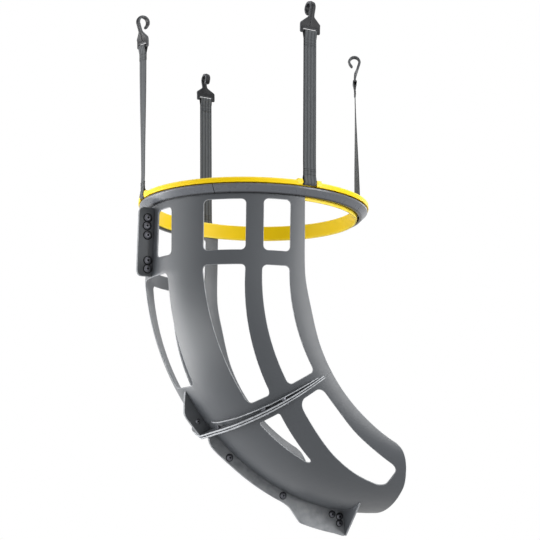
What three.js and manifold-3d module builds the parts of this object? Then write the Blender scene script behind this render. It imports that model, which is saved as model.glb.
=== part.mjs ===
// Basketball return chute: a mounting ring that hangs on four hook straps, and a half-tube chute
// of four moulded shells, held by a clamping collar that turns round the ring.
// Millimetres, +Z up. The origin is the centre of the ring's top face, and the ball rolls out
// towards +X. Right is -Y and left is +Y for someone who looks along +X.
import * as THREE from 'three';
import { mergeVertices } from 'three/addons/utils/BufferGeometryUtils.js';
import Module from 'manifold-3d';

const wasm = await Module();
wasm.setup();

// Clearances and fineness
const seat = 0.3; // gap between pieces that rest on each other
const overrun = 40; // how far a cutter passes the wall that it cuts
const bite = 1.2; // how far a rib starts inside the wall that carries it
const degree = Math.PI / 180;
const fullTurn = 360;
const halfTurn = 180;
const quarterTurn = 90;
const roundStep = 6; // degrees between the flats of the ring and the collar
const bendStep = 8; // degrees between the sections of the bend
const wallColumns = 13;
const cornerSteps = 3;
const edgeSteps = 5;
const webSteps = 7;
const loopSteps = 10;
const hookSteps = 16;
const rodSides = 10;
const nutSides = 6;

// Mounting ring
const ringOuter = 210; // radius of its rim
const ringFlange = 24.4; // from its bore to its rim
const ringWall = 3;
const ringDepth = 29;
const beadReach = 9.4;
const beadDepth = 12; // from the ring's top face to the bead
const beadThickness = 3;

// Collar: a C section that wraps the ring's bead and holds the shells' top lip in a second slot
const collarLip = 2.2;
const collarWeb = 1.9;
const collarInset = 2;
const collarShoulder = 3.5;
const collarFootHeight = 3.7;
const collarFootWall = 1;
const collarRunning = 1.9; // gap between the collar and the ring's wall
const collarSeam = 46.5; // degrees from the back and from the front to each joint
const seamGap = 0.6;
const pinRadius = 1.5;
const pinLength = 16;
const skirtGap = 1;

// Shells
const shellWall = 2.7;
const shellRunning = 1.2; // gap between the shells and the ring's wall
const shellLip = 2.5;
const shellLipReach = 4;
const straightLength = 150; // from the ring's top face to the start of the bend
const bendRadius = 300; // at the tube's centre line
const exitDepth = 103.5; // from the centre line to the keel at the exit
const topBand = 7;
const windowHeight = 89;
const middleBand = 25;
const openingHeight = 172.5;
const splitBand = 16.5;
const lowerLength = 255.8;
const lowerBand = 10.5;
const shortOpening = 80;
const longOpening = 185;
const windowCorner = 8;
const longCorner = 14;
const cornerShare = 0.45; // most of an opening's width that one corner takes

// Flanges and plates that bolt the shells together
const plate = 3;
const tabGap = 4; // between the collar and the tab
const tabHeight = 123;
const tabReach = 27.5;
const tabCorner = 9;
const notchHeight = 125;
const gussetRun = 53;
const gussetDepth = 24.6;
const flangeReach = 16;
const flangeThickness = 2.4;
const keelDepth = 45;
const footLength = 205.5; // along the keel from the split to the foot
const footLean = 13.4; // how much further the foot's lower corner lies along the keel
const footSweep = 13.1; // how much the foot falls back towards its outer end
const footTurn = 28.5; // degrees from the keel to the foot's outer end

// Straps and hooks
const webWidth = 25.4;
const webThickness = 1.3;
const webLoop = 10; // from a bar's centre to where the two layers meet
const loopEnds = [20, -200]; // degrees round the bar
const webDouble = 25; // from a bar's centre to the end of the stitched layers
const strapLength = 265; // between the centres of the two bars
const strapSettle = 40; // height at which the webbing has taken its full sideways lean
const loopTrim = 0.1;
const barRadius = 2.6;
const slotRoom = 3.7;
const slotSide = 1.3;
const lugMargin = 10;
const lugHeight = 1.5; // above the ring's top face
const lugGap = 2; // from the lug's foot up from the skirt's
const hookBarRadius = 2.3;
const hookReach = 43.2; // from the bar's centre to the centre of the hook's curl
const hookRadius = 11.5;
const hookBand = 3.6;
const hookWidth = 10.5;
const hookLean = 18; // degrees
const hookCurl = 215; // degrees round to where the tip runs straight
const hookTip = 7;
const hookPlate = 4;
const hookLeg = 6;
const hookSide = 0.8;
const hookSlot = 7.2; // from the bar's centre to the top of the slot
const hookShoulder = 4;
const hookTaper = 15.6;

// Screws and nuts: radii and heights
const tabScrew = { head: 6.2, crown: 4.4, headHeight: 3.6, shank: 2.5, nut: 5.4, nutHeight: 4, tip: 1 };
const keelScrew = { head: 5.5, crown: 3.9, headHeight: 3.4, shank: 2.5, nut: 5.2, nutHeight: 4, tip: 1 };
const flangeScrew = { head: 4.5, crown: 3.2, headHeight: 3, shank: 2, nut: 4.3, nutHeight: 3.2, tip: 1 };

// Heights and radii that follow from the sizes above; depths count down from the top face
const ringBore = ringOuter - ringFlange;
const wallOuter = ringBore + ringWall;
const beadOuter = wallOuter + beadReach;
const collarTop = beadDepth - seat - collarLip;
const beadSlotFloor = beadDepth + beadThickness + seat;
const lipSlotTop = beadSlotFloor + collarWeb;
const shellTop = lipSlotTop + seat;
const lipSlotFloor = shellTop + shellLip + seat;
const collarFoot = lipSlotFloor + collarFootHeight;
const collarOuter = ringOuter - collarInset;
const collarInner = wallOuter + collarRunning;
const skirtDepth = collarTop - skirtGap;
const chuteRadius = wallOuter + shellRunning + shellWall;
const lugDrop = skirtDepth - lugGap;
const barHeight = (lugHeight - lugDrop) / 2;
const barReach = ringOuter - barRadius;
const loopOuter = barRadius + seat + webThickness;
const slotInner = barReach - loopOuter - slotRoom;
const slotWidth = webWidth + 2 * slotSide;
const windowTop = collarFoot + topBand;
const openingTop = windowTop + windowHeight + middleBand;
const splitRun = openingTop + openingHeight + splitBand;
const chuteLength = splitRun + lowerLength;
const bendSpan = (chuteLength - straightLength) / bendRadius;
const tabStart = collarFoot + tabGap;
const tabEnd = tabStart + tabHeight;
const keelTurn = Math.asin(seat / 2 / chuteRadius) / degree;

// The four straps: their place round the ring, their leans outwards and anticlockwise, and the
// twist of the webbing between its ends, in degrees
const straps = [
  { name: 'rear', around: 174.5, out: 4.4, along: 8.9, twist: 14 },
  { name: 'right', around: -87.3, out: 0.8, along: -1.1, twist: 0 },
  { name: 'front', around: -5.5, out: -0.9, along: 1.8, twist: -22 },
  { name: 'left', around: 92.7, out: 2.8, along: 0.6, twist: 0 },
];

// Degrees from the keel to the shells' front edge, at even steps from the ring to the exit
const frontEdge = [92.8, 93.1, 93.5, 95.7, 94.8, 93.6, 92, 89, 86.5];

// Where the exit rim ends, as shares of the lower length, for shares of the way round the shell;
// past its knee the rim curves up to the front edge
const exitKnee = 4;
const exitShares = [
  [0, 0.993], [0.31, 0.934], [0.52, 0.895], [0.66, 0.868], [0.8, 0.825], [0.88, 0.795],
  [0.93, 0.77], [0.965, 0.745], [0.985, 0.72], [1, 0.68],
];

// Openings of a shell: where each starts, its length and its corner radius, and its two edges as
// degrees from the keel, at even steps from top to foot
const topWindow = { top: windowTop, height: windowHeight, corner: windowCorner };
const middleWindow = { top: openingTop, height: openingHeight, corner: windowCorner };
const lowerTop = splitRun + lowerBand;
const upperOpenings = [
  { ...topWindow, keelSide: [6.5, 6.5], frontSide: [18.7, 19.8] },
  { ...topWindow, keelSide: [40, 40.5], frontSide: [62.2, 62.4] },
  { ...topWindow, keelSide: [71.2, 71.4], frontSide: [85, 85] },
  { ...middleWindow, keelSide: [40.5, 40.5], frontSide: [62.8, 55] },
  { ...middleWindow, keelSide: [71.2, 66.8], frontSide: [85, 84.2] },
  { top: tabEnd, height: notchHeight, corner: windowCorner, keelSide: [-6, -6], frontSide: [17.5, 12.2] },
];
const lowerOpenings = [
  {
    top: lowerTop,
    height: shortOpening,
    corner: windowCorner,
    keelSide: [38.5, 39.8, 41.8],
    frontSide: [52.8, 49.2, 46],
  },
  {
    top: lowerTop,
    height: longOpening,
    corner: longCorner,
    keelSide: [66.5, 62.4, 57.5, 53.7, 51.8],
    frontSide: [83, 82, 79, 75.8, 71],
  },
];

// Reach of the split flange as shares of its size, at even steps from the keel to its end
const flangeShares = [1.5, 1, 0.95, 0.92, 0.9, 0.82, 0.62, 0.35, 0.05];
const flangeTurn = 88; // degrees from the keel
const flangeScrewTurns = [14, 47, 60];

// Depth of the keel plates as shares of their size, for shares of the way along them
const gussetShares = [[0, 0.05], [0.42, 1], [1, 0.94]];
const keelShares = [
  [0, 0.47], [0.21, 0.4], [0.57, 0.41], [0.62, 0.47], [0.715, 0.89], [0.93, 0.93], [1, 1],
];
// Screw places on the keel plate: shares of the way to the foot, and of the plate's depth
const keelScrewShares = [[0.187, 0.215], [0.585, 0.18], [0.934, 0.2], [0.987, 0.235], [0.998, 0.497]];
// Screw places on the rear tab: shares of its reach and of its height
const tabScrewShares = [[0.42, 0.155], [0.45, 0.272], [0.39, 0.407], [0.32, 0.772], [0.32, 0.892]];

const finish = (color, roughness) => (
  new THREE.MeshStandardMaterial({ color, roughness, metalness: 0, flatShading: true })
);
const yellowPlastic = finish('#f2c200', 0.4);
const shellPlastic = finish('#63666a', 0.5);
const collarPlastic = finish('#6d7074', 0.5);
const hookPlastic = finish('#3a3b3e', 0.45);
const webbing = finish('#5a5c5f', 0.9);
const screwSteel = new THREE.MeshStandardMaterial({ color: '#33343a', roughness: 0.4, metalness: 0.9 });

// Solids from triangles, and triangles from solids

function windOutwards(positions, index) {
  const corner = [new THREE.Vector3(), new THREE.Vector3(), new THREE.Vector3()];
  const normal = new THREE.Vector3();
  let volume = 0;
  for (let start = 0; start < index.length; start += 3) {
    corner.forEach((point, step) => point.fromArray(positions, index[start + step] * 3));
    volume += corner[0].dot(normal.crossVectors(corner[1], corner[2]));
  }
  if (volume > 0) return index;
  const turned = [];
  for (let start = 0; start < index.length; start += 3) {
    turned.push(index[start], index[start + 2], index[start + 1]);
  }
  return turned;
}

function solid(geometry) {
  const bare = geometry.clone();
  bare.deleteAttribute('normal');
  bare.deleteAttribute('uv');
  const merged = mergeVertices(bare);
  const positions = merged.attributes.position.array;
  const all = Array.from(merged.index.array);
  const kept = [];
  for (let start = 0; start < all.length; start += 3) {
    const [a, b, c] = all.slice(start, start + 3);
    if (a !== b && b !== c && c !== a) kept.push(a, b, c);
  }
  const triVerts = Uint32Array.from(windOutwards(positions, kept));
  return new wasm.Manifold(new wasm.Mesh({ numProp: 3, vertProperties: positions, triVerts }));
}

function geometryOf(body) {
  const mesh = body.getMesh();
  const geometry = new THREE.BufferGeometry();
  geometry.setAttribute('position', new THREE.BufferAttribute(mesh.vertProperties, 3));
  geometry.setIndex(new THREE.BufferAttribute(mesh.triVerts, 1));
  geometry.computeVertexNormals();
  return geometry;
}

const join = (bodies) => bodies.reduce((whole, body) => whole.add(body));
const cut = (body, tools) => tools.reduce((rest, tool) => rest.subtract(tool), body);

// Indices that close a ring of points made of one chain and, backwards, its opposite chain
function ladder(count) {
  const triangles = [];
  for (let rung = 0; rung < count - 1; rung += 1) {
    const opposite = 2 * count - 1 - rung;
    triangles.push([rung, rung + 1, opposite - 1], [rung, opposite - 1, opposite]);
  }
  return triangles;
}

// Indices that close a ring of points in the form of a flat outline
function outlineFill(outline) {
  const area = ([a, b, c]) => THREE.ShapeUtils.area([outline[a], outline[b], outline[c]]);
  const leftHanded = THREE.ShapeUtils.area(outline) < 0;
  return THREE.ShapeUtils.triangulateShape(outline, []).map((triangle) => (
    area(triangle) < 0 === leftHanded ? triangle : [triangle[0], triangle[2], triangle[1]]
  ));
}

// A closed body through rings with equally many points. The fill closes its two ends; without a
// fill the last ring joins the first.
function loft(rings, fill) {
  const count = rings[0].length;
  const index = [];
  const spans = fill ? rings.length - 1 : rings.length;
  for (let ring = 0; ring < spans; ring += 1) {
    const here = ring * count;
    const next = ((ring + 1) % rings.length) * count;
    for (let point = 0; point < count; point += 1) {
      const after = (point + 1) % count;
      index.push(here + point, here + after, next + after, here + point, next + after, next + point);
    }
  }
  const last = (rings.length - 1) * count;
  (fill ?? []).forEach(([a, b, c]) => index.push(a, c, b, last + a, last + b, last + c));
  const geometry = new THREE.BufferGeometry().setFromPoints(rings.flat());
  geometry.setIndex(index);
  return solid(geometry);
}

// Between two chains of points, thickened along one direction
function slab(chain, opposite, offsetFrom, offsetTo) {
  const ring = [...chain, ...[...opposite].reverse()];
  const rings = [offsetFrom, offsetTo].map((offset) => ring.map((point) => point.clone().add(offset)));
  return loft(rings, ladder(chain.length));
}

// A profile of [radius, height] points turned about Z, between two angles in degrees
function revolve(profile, from, to) {
  const whole = to - from >= fullTurn;
  const steps = Math.ceil((to - from) / roundStep);
  const rings = [];
  for (let step = 0; step <= (whole ? steps - 1 : steps); step += 1) {
    const angle = (from + ((to - from) * step) / steps) * degree;
    rings.push(profile.map(([radius, height]) => (
      new THREE.Vector3(radius * Math.cos(angle), radius * Math.sin(angle), height)
    )));
  }
  return loft(rings, whole ? null : outlineFill(profile.map((point) => new THREE.Vector2(...point))));
}

// A round rod between two points
function rod(from, to, radius) {
  const axis = to.clone().sub(from);
  const geometry = new THREE.CylinderGeometry(radius, radius, axis.length(), rodSides);
  const middle = from.clone().lerp(to, 0.5);
  const turn = new THREE.Quaternion().setFromUnitVectors(new THREE.Vector3(0, 1, 0), axis.normalize());
  geometry.applyQuaternion(turn).translate(middle.x, middle.y, middle.z);
  return solid(geometry);
}

const around = (radius, angle, height) => new THREE.Vector3(
  radius * Math.cos(angle * degree),
  radius * Math.sin(angle * degree),
  height,
);

// Value at a share of the way through a list with even steps
function valueAt(list, share) {
  const place = Math.min(Math.max(share, 0), 1) * (list.length - 1);
  const before = Math.min(Math.floor(place), list.length - 2);
  return THREE.MathUtils.lerp(list[before], list[before + 1], place - before);
}

// Value at a share of the way through a list of [share, value] pairs
function shareAt(pairs, share) {
  const after = Math.max(pairs.findIndex(([place]) => place >= share), 1);
  const [from, low] = pairs[after - 1];
  const [to, high] = pairs[after];
  return THREE.MathUtils.lerp(low, high, (share - from) / (to - from));
}

// The chute's wall. A section lies square to the centre line, which runs straight down and then
// bends towards +X. It is half an ellipse, as wide as the ring everywhere, and shallower towards
// the exit. Run is the length along the centre line, turn the degrees from the keel, and lift the
// distance out of the outer face.

function section(run) {
  const bend = Math.max(run - straightLength, 0) / bendRadius;
  const centre = new THREE.Vector3(
    bendRadius * (1 - Math.cos(bend)),
    0,
    -Math.min(run, straightLength) - bendRadius * Math.sin(bend),
  );
  const down = new THREE.Vector3(-Math.cos(bend), 0, -Math.sin(bend));
  const forward = new THREE.Vector3(Math.sin(bend), 0, -Math.cos(bend));
  const depth = chuteRadius - ((chuteRadius - exitDepth) * bend) / bendSpan;
  return { centre, down, forward, depth };
}

function wallPoint(run, turn, lift, side) {
  const { centre, down, depth } = section(run);
  const across = (chuteRadius + lift) * Math.sin(turn * degree) * side;
  return centre.addScaledVector(down, (depth + lift) * Math.cos(turn * degree))
    .add(new THREE.Vector3(0, across, 0));
}

function evenly(from, to, steps) {
  return Array.from({ length: steps + 1 }, (_, step) => from + ((to - from) * step) / steps);
}

// Runs of the sections between two runs: the straight part needs only its ends
function stations(from, to) {
  const start = Math.max(from, straightLength);
  const steps = Math.max(Math.ceil((to - start) / bendRadius / degree / bendStep), 1);
  const bent = evenly(start, to, steps);
  return from < straightLength ? [from, ...bent] : bent;
}

const frontTurn = (run) => valueAt(frontEdge, run / chuteLength);

// A sheet between two lifts. Each row is a run as a function of the share of the way round.
function sheet(rows, columns, turnAt, liftIn, liftOut, side) {
  const rings = rows.map((runAt) => {
    const face = (lift) => columns.map((share) => {
      const run = runAt(share);
      return wallPoint(run, turnAt(run, share), lift(share), side);
    });
    return [...face(liftOut), ...face(liftIn).reverse()];
  });
  return loft(rings, ladder(columns.length));
}

const wallTurn = (run, share) => THREE.MathUtils.lerp(keelTurn, frontTurn(run), share);

function wallSheet(rows, columns, side) {
  return sheet(rows, columns, wallTurn, () => -shellWall, () => 0, side);
}

// Cutter for one opening: its two edges as chains with rounded corners, carried through the wall
function openingCutter({ top, height, keelSide, frontSide, corner }, side) {
  const arc = chuteRadius * degree;
  const widths = [0, 1].map((end) => arc * (valueAt(frontSide, end) - valueAt(keelSide, end)));
  const round = Math.min(corner, cornerShare * Math.min(...widths));
  const margin = round / height;
  const chain = (edge, inwards) => {
    const at = (share) => new THREE.Vector2(valueAt(edge, share), top + height * share);
    const beside = (share) => at(share).add(new THREE.Vector2((inwards * round) / arc, 0));
    const bend = (...points) => new THREE.QuadraticBezierCurve(...points).getPoints(cornerSteps);
    return [
      ...bend(beside(0), at(0), at(margin)),
      ...evenly(margin, 1 - margin, edgeSteps).slice(1, -1).map(at),
      ...bend(at(1 - margin), at(1), beside(1)),
    ];
  };
  const keelChain = chain(keelSide, 1);
  const outline = [...keelChain, ...chain(frontSide, -1).reverse()];
  const rings = [-overrun, overrun].map((lift) => (
    outline.map(({ x, y }) => wallPoint(y, x, lift, side))
  ));
  return loft(rings, ladder(keelChain.length));
}

// A plate beside the middle plane, from inside the wall to a given depth below the keel
function keelPlate(from, to, leanAtEnd, depth, shares, side) {
  const steps = [...new Set([...shares.map(([share]) => share), ...evenly(0, 1, edgeSteps)])];
  const places = steps.sort((one, other) => one - other);
  const inner = places.map((share) => wallPoint(THREE.MathUtils.lerp(from, to, share), 0, -bite, side));
  const outer = places.map((share) => (
    wallPoint(THREE.MathUtils.lerp(from, to + leanAtEnd, share), 0, depth * shareAt(shares, share), side)
  ));
  const across = (distance) => new THREE.Vector3(0, side * distance, 0);
  return slab(inner, outer, across(seat / 2), across(seat / 2 + plate));
}

// Flange round the split: a thin fan that stands out of the wall
const flangeLift = (share) => flangeReach * valueAt(flangeShares, share);

function splitFlange(from, to, side) {
  const turnAt = (run, share) => THREE.MathUtils.lerp(keelTurn, flangeTurn, share);
  return sheet([() => from, () => to], evenly(0, 1, wallColumns), turnAt, () => -bite, flangeLift, side);
}

// Foot at the exit: a fin across the keel, from the keel plate's lower corner out to the wall
function foot(side) {
  const run = splitRun + footLength;
  const shares = evenly(0, 1, edgeSteps);
  const upper = shares.map((share) => (
    wallPoint(run - footSweep * share, THREE.MathUtils.lerp(keelTurn, footTurn, share), -bite, side)
  ));
  const corner = wallPoint(run + footLean, keelTurn, keelDepth, side);
  const end = wallPoint(run - footSweep, footTurn, bite / 2, side);
  const lower = shares.map((share) => corner.clone().lerp(end, share));
  const along = (distance) => new THREE.Vector3(distance, 0, 0);
  return slab(upper, lower, along(-plate / 2), along(plate / 2));
}

// Screw and nut places: a point between the two plates, the direction of the screw's head, and
// half of the thickness that the screw holds

const halfGrip = seat / 2 + plate;
const toRight = new THREE.Vector3(0, -1, 0);

const tabPlaces = tabScrewShares.map(([reach, height]) => ({
  point: new THREE.Vector3(-chuteRadius - tabReach * reach, 0, -tabStart - tabHeight * height),
  axis: toRight,
  grip: halfGrip,
}));

const keelPlaces = keelScrewShares.map(([share, depth]) => ({
  point: wallPoint(splitRun + footLength * share, 0, keelDepth * depth, 1),
  axis: toRight,
  grip: halfGrip,
}));

const flangePlaces = [-1, 1].flatMap((side) => flangeScrewTurns.map((turn) => {
  const lift = flangeLift(turn / flangeTurn) / 2;
  const { depth, forward } = section(splitRun);
  const distance = bendRadius + (depth + lift) * Math.cos(turn * degree);
  return {
    point: wallPoint(splitRun, turn, lift, side),
    axis: forward,
    grip: ((seat / 2 + flangeThickness) * distance) / bendRadius,
  };
}));

const holes = (places, screw) => places.map(({ point, axis, grip }) => rod(
  point.clone().addScaledVector(axis, grip * 2),
  point.clone().addScaledVector(axis, -grip * 2),
  screw.shank + seat,
));

function screwBody({ point, axis, grip }, screw) {
  const end = -2 * (grip + seat) - screw.nutHeight - screw.tip;
  const profile = [
    [0, end], [screw.shank, end], [screw.shank, 0], [screw.head, 0],
    [screw.head, screw.headHeight / 2], [screw.crown, screw.headHeight], [0, screw.headHeight],
  ];
  const geometry = new THREE.LatheGeometry(profile.map((place) => new THREE.Vector2(...place)), rodSides);
  const middle = point.clone().addScaledVector(axis, grip + seat);
  geometry.applyQuaternion(new THREE.Quaternion().setFromUnitVectors(new THREE.Vector3(0, 1, 0), axis));
  return solid(geometry.translate(middle.x, middle.y, middle.z));
}

function nutBody({ point, axis, grip }, screw) {
  const corners = evenly(0, fullTurn, nutSides).slice(1).map((angle) => around(screw.nut, angle, 0));
  const shape = new THREE.Shape(corners.map(({ x, y }) => new THREE.Vector2(x, y)));
  shape.holes.push(new THREE.Path().absarc(0, 0, screw.shank + seat, 0, 2 * Math.PI));
  const options = { depth: screw.nutHeight, bevelEnabled: false, curveSegments: rodSides / 2 };
  const geometry = new THREE.ExtrudeGeometry(shape, options);
  const away = axis.clone().negate();
  const middle = point.clone().addScaledVector(away, grip + seat);
  geometry.applyQuaternion(new THREE.Quaternion().setFromUnitVectors(new THREE.Vector3(0, 0, 1), away));
  return solid(geometry.translate(middle.x, middle.y, middle.z));
}

// Mounting ring: a wall with a flange, a rim skirt and an outward bead, and four strap lugs

function mountingRing() {
  const body = revolve([
    [ringBore, 0], [ringOuter, 0], [ringOuter, -skirtDepth], [ringOuter - ringWall, -skirtDepth],
    [ringOuter - ringWall, -ringWall], [wallOuter, -ringWall], [wallOuter, -beadDepth],
    [beadOuter, -beadDepth], [beadOuter, -beadDepth - beadThickness],
    [wallOuter, -beadDepth - beadThickness],
    [wallOuter, -ringDepth], [ringBore, -ringDepth],
  ], 0, fullTurn);
  const halfLug = (webWidth / 2 + lugMargin) / barReach / degree;
  const lugInner = slotInner - ringWall;
  const parts = [body];
  const slots = [];
  const bars = [];
  straps.forEach((strap) => {
    parts.push(revolve([
      [lugInner, lugHeight], [ringOuter, lugHeight], [ringOuter, -lugDrop], [lugInner, -lugDrop],
    ], strap.around - halfLug, strap.around + halfLug));
    const slot = new THREE.BoxGeometry(ringOuter + slotWidth - slotInner, slotWidth, overrun);
    slot.translate((ringOuter + slotWidth + slotInner) / 2, 0, barHeight);
    slots.push(solid(slot.rotateZ(strap.around * degree)));
    const middle = around(barReach, strap.around, barHeight);
    const half = around(slotWidth / 2 + ringWall, strap.around + quarterTurn, 0);
    bars.push(rod(middle.clone().sub(half), middle.clone().add(half), barRadius));
  });
  return join([cut(join(parts), slots), ...bars]);
}

// Collar segments, and the pins that line up their joints

const collarProfile = [
  [collarInner, -collarTop], [collarOuter, -collarTop], [collarOuter, -collarTop - collarShoulder],
  [chuteRadius + collarFootWall + seat * 2, -collarFoot], [chuteRadius + seat, -collarFoot],
  [chuteRadius + seat, -lipSlotFloor], [chuteRadius + shellLipReach + seat, -lipSlotFloor],
  [chuteRadius + shellLipReach + seat, -lipSlotTop], [collarInner, -lipSlotTop],
  [collarInner, -beadSlotFloor], [beadOuter + seat, -beadSlotFloor],
  [beadOuter + seat, -beadDepth + seat], [collarInner, -beadDepth + seat],
];
const pinReach = (beadOuter + collarOuter) / 2;
const pinHeight = -collarTop - collarShoulder;
const collarJoints = [halfTurn - collarSeam, halfTurn + collarSeam, -collarSeam, collarSeam];

function pinAt(angle, radius, length) {
  const middle = around(pinReach, angle, pinHeight);
  const half = around(length / 2, angle + quarterTurn, 0);
  return rod(middle.clone().sub(half), middle.clone().add(half), radius);
}

function collarSegment(from, to) {
  const gap = seamGap / 2 / ringOuter / degree;
  const sockets = [from, to].map((angle) => pinAt(angle, pinRadius + seat, pinLength + seat * 2));
  return cut(revolve(collarProfile, from + gap, to - gap), sockets);
}

// Shells

function rearTab(side) {
  const inner = -chuteRadius + bite;
  const outer = -chuteRadius - tabReach;
  const shape = new THREE.Shape();
  shape.moveTo(inner, -tabStart);
  shape.lineTo(outer + tabCorner, -tabStart);
  shape.absarc(outer + tabCorner, -tabStart - tabCorner, tabCorner, Math.PI / 2, Math.PI);
  shape.absarc(outer + tabCorner, -tabEnd + tabCorner, tabCorner, Math.PI, Math.PI * 1.5);
  shape.lineTo(inner, -tabEnd);
  const options = { depth: plate, bevelEnabled: false, curveSegments: edgeSteps };
  const geometry = new THREE.ExtrudeGeometry(shape, options);
  geometry.rotateX(Math.PI / 2);
  return solid(geometry.translate(0, side > 0 ? seat / 2 + plate : -seat / 2, 0));
}

function upperShell(side) {
  const foot = splitRun - seat / 2;
  const columns = evenly(0, 1, wallColumns);
  const lipRows = [shellTop, shellTop + shellLip].map((run) => () => run);
  const parts = [
    wallSheet(stations(shellTop, foot).map((run) => () => run), columns, side),
    sheet(lipRows, columns, wallTurn, () => -bite, () => shellLipReach, side),
  ];
  const wall = cut(join(parts), upperOpenings.map((opening) => openingCutter(opening, side)));
  const ribs = [
    rearTab(side),
    keelPlate(foot - gussetRun, foot, 0, gussetDepth, gussetShares, side),
    splitFlange(foot - flangeThickness, foot, side),
  ];
  return cut(join([wall, ...ribs]), [...holes(tabPlaces, tabScrew), ...holes(flangePlaces, flangeScrew)]);
}

function lowerShell(side) {
  const top = splitRun + seat / 2;
  const [[knee], ...rest] = exitShares.slice(exitKnee);
  const columns = [...evenly(0, knee, wallColumns - 3), ...rest.map(([share]) => share)];
  const end = (share) => splitRun + lowerLength * shareAt(exitShares, share);
  const steps = Math.ceil(lowerLength / bendRadius / degree / bendStep);
  const rows = evenly(0, 1, steps).map((step) => (share) => THREE.MathUtils.lerp(top, end(share), step));
  const wall = cut(
    wallSheet(rows, columns, side),
    lowerOpenings.map((opening) => openingCutter(opening, side)),
  );
  const ribs = [
    splitFlange(top, top + flangeThickness, side),
    keelPlate(top, splitRun + footLength, footLean, keelDepth, keelShares, side),
    foot(side),
  ];
  return cut(join([wall, ...ribs]), [...holes(keelPlaces, keelScrew), ...holes(flangePlaces, flangeScrew)]);
}

// Straps, in a frame at the ring's bar with x along the bar, y outwards and z up

// The webbing's centre line and axes at a height: it leaves the bar square, then takes its
// sideways lean, and it twists evenly up to the hook
function webFrame({ out, along, twist }, height) {
  const upright = new THREE.Vector3(0, Math.tan(out * degree), 1).normalize();
  const leaning = new THREE.Vector3(-Math.tan(along * degree), Math.tan(out * degree), 1).normalize();
  const settled = THREE.MathUtils.smoothstep(height, webLoop, strapSettle);
  const line = upright.lerp(leaning, settled);
  const origin = line.clone().multiplyScalar(height);
  const up = line.clone().normalize();
  const turned = THREE.MathUtils.smoothstep(height, webDouble, strapLength - webDouble) * twist;
  const across = new THREE.Vector3(1, 0, 0).addScaledVector(up, -up.x).normalize();
  across.applyAxisAngle(up, turned * degree);
  const outwards = up.clone().cross(across);
  return new THREE.Matrix4().makeBasis(across, outwards, up).setPosition(origin);
}

function strapBody(strap) {
  const place = (across, thickness, height) => (
    new THREE.Vector3(across, thickness, 0).applyMatrix4(webFrame(strap, height))
  );
  // The straight webbing, two layers thick where its ends are stitched back
  const single = webDouble + webThickness;
  const heights = [
    webLoop, webDouble, ...evenly(single, strapLength - single, webSteps),
    strapLength - webDouble, strapLength - webLoop,
  ];
  const straight = heights.map((height) => {
    const stitched = Math.min(height, strapLength - height) <= webDouble;
    const thick = stitched ? webThickness : webThickness / 2;
    const wide = webWidth / 2;
    return [[-wide, -thick], [wide, -thick], [wide, thick], [-wide, thick]]
      .map(([across, thickness]) => place(across, thickness, height));
  });
  // Each loop is a drop-shaped band round its bar, whose point lies between the layers
  const loop = (bar, barPlace, towards) => {
    const wide = webWidth / 2 - loopTrim;
    const inner = bar + seat;
    const angles = evenly(...loopEnds, loopSteps);
    const band = (radius, apex) => [
      ...angles.map((angle) => around(radius, angle, 0)), new THREE.Vector3(0, apex, 0),
    ];
    const outside = band(inner + webThickness, webLoop + webThickness * 2);
    const inside = band(inner, webLoop - webThickness * 2);
    return outside.map((point, step) => {
      const at = (across, { x, y }) => (
        new THREE.Vector3(across, x, y * towards).applyMatrix4(webFrame(strap, barPlace))
      );
      return [at(-wide, point), at(wide, point), at(wide, inside[step]), at(-wide, inside[step])];
    });
  };
  return join([
    loft(straight, [[0, 1, 2], [0, 2, 3]]),
    loft(loop(barRadius, 0, 1), null),
    loft(loop(hookBarRadius, strapLength, -1), null),
  ]);
}

// Hook, in a frame at its own bar with x along the bar, y outwards and z up the strap

function hookBody() {
  const lean = hookLean * degree;
  const middle = hookRadius - hookBand / 2;
  const bend = new THREE.Vector3(0, 0, hookReach);
  const shankFoot = hookReach - middle / Math.sin(lean);
  const at = (angle, radius) => (
    new THREE.Vector3(0, Math.cos(angle * degree), Math.sin(angle * degree)).multiplyScalar(radius).add(bend)
  );
  const tip = new THREE.Vector3(0, -Math.sin(hookCurl * degree), Math.cos(hookCurl * degree));
  const edge = (offset) => {
    const start = new THREE.Vector3(0, offset * Math.cos(lean), shankFoot - offset * Math.sin(lean));
    const round = evenly(-hookLean, hookCurl, hookSteps).map((angle) => at(angle, middle + offset));
    return [start, ...round, round.at(-1).clone().addScaledVector(tip, hookTip)];
  };
  const half = new THREE.Vector3(hookWidth / 2, 0, 0);
  const band = slab(edge(hookBand / 2), edge(-hookBand / 2), half.clone().negate(), half);

  const legInner = webWidth / 2 + hookSide;
  const legOuter = legInner + hookLeg;
  const plateTop = shankFoot + hookBand / 2;
  const upright = (points) => {
    const shape = new THREE.Shape(points.map((point) => new THREE.Vector2(...point)));
    const geometry = new THREE.ExtrudeGeometry(shape, { depth: hookPlate, bevelEnabled: false });
    return geometry.translate(0, 0, -hookPlate / 2).rotateX(Math.PI / 2);
  };
  const fork = solid(upright([
    [-legOuter, -hookBarRadius], [-legInner, -hookBarRadius], [-legInner, hookSlot],
    [legInner, hookSlot], [legInner, -hookBarRadius], [legOuter, -hookBarRadius],
    [legOuter, plateTop], [-legOuter, plateTop],
  ]));
  const taper = upright([
    [-legOuter, 0], [legOuter, 0], [legOuter, hookShoulder], [hookWidth / 2, hookTaper],
    [-hookWidth / 2, hookTaper], [-legOuter, hookShoulder],
  ]);
  const bar = new THREE.Vector3(legInner + hookLeg / 2, 0, 0);
  return join([
    fork,
    solid(taper.rotateX(-lean).translate(0, 0, shankFoot)),
    rod(bar.clone().negate(), bar, hookBarRadius),
    band,
  ]);
}

// The scene graph

const group = new THREE.Group();

function add(parent, name, body, material) {
  const mesh = new THREE.Mesh(geometryOf(body), material);
  mesh.name = name;
  parent.add(mesh);
  return mesh;
}

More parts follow.
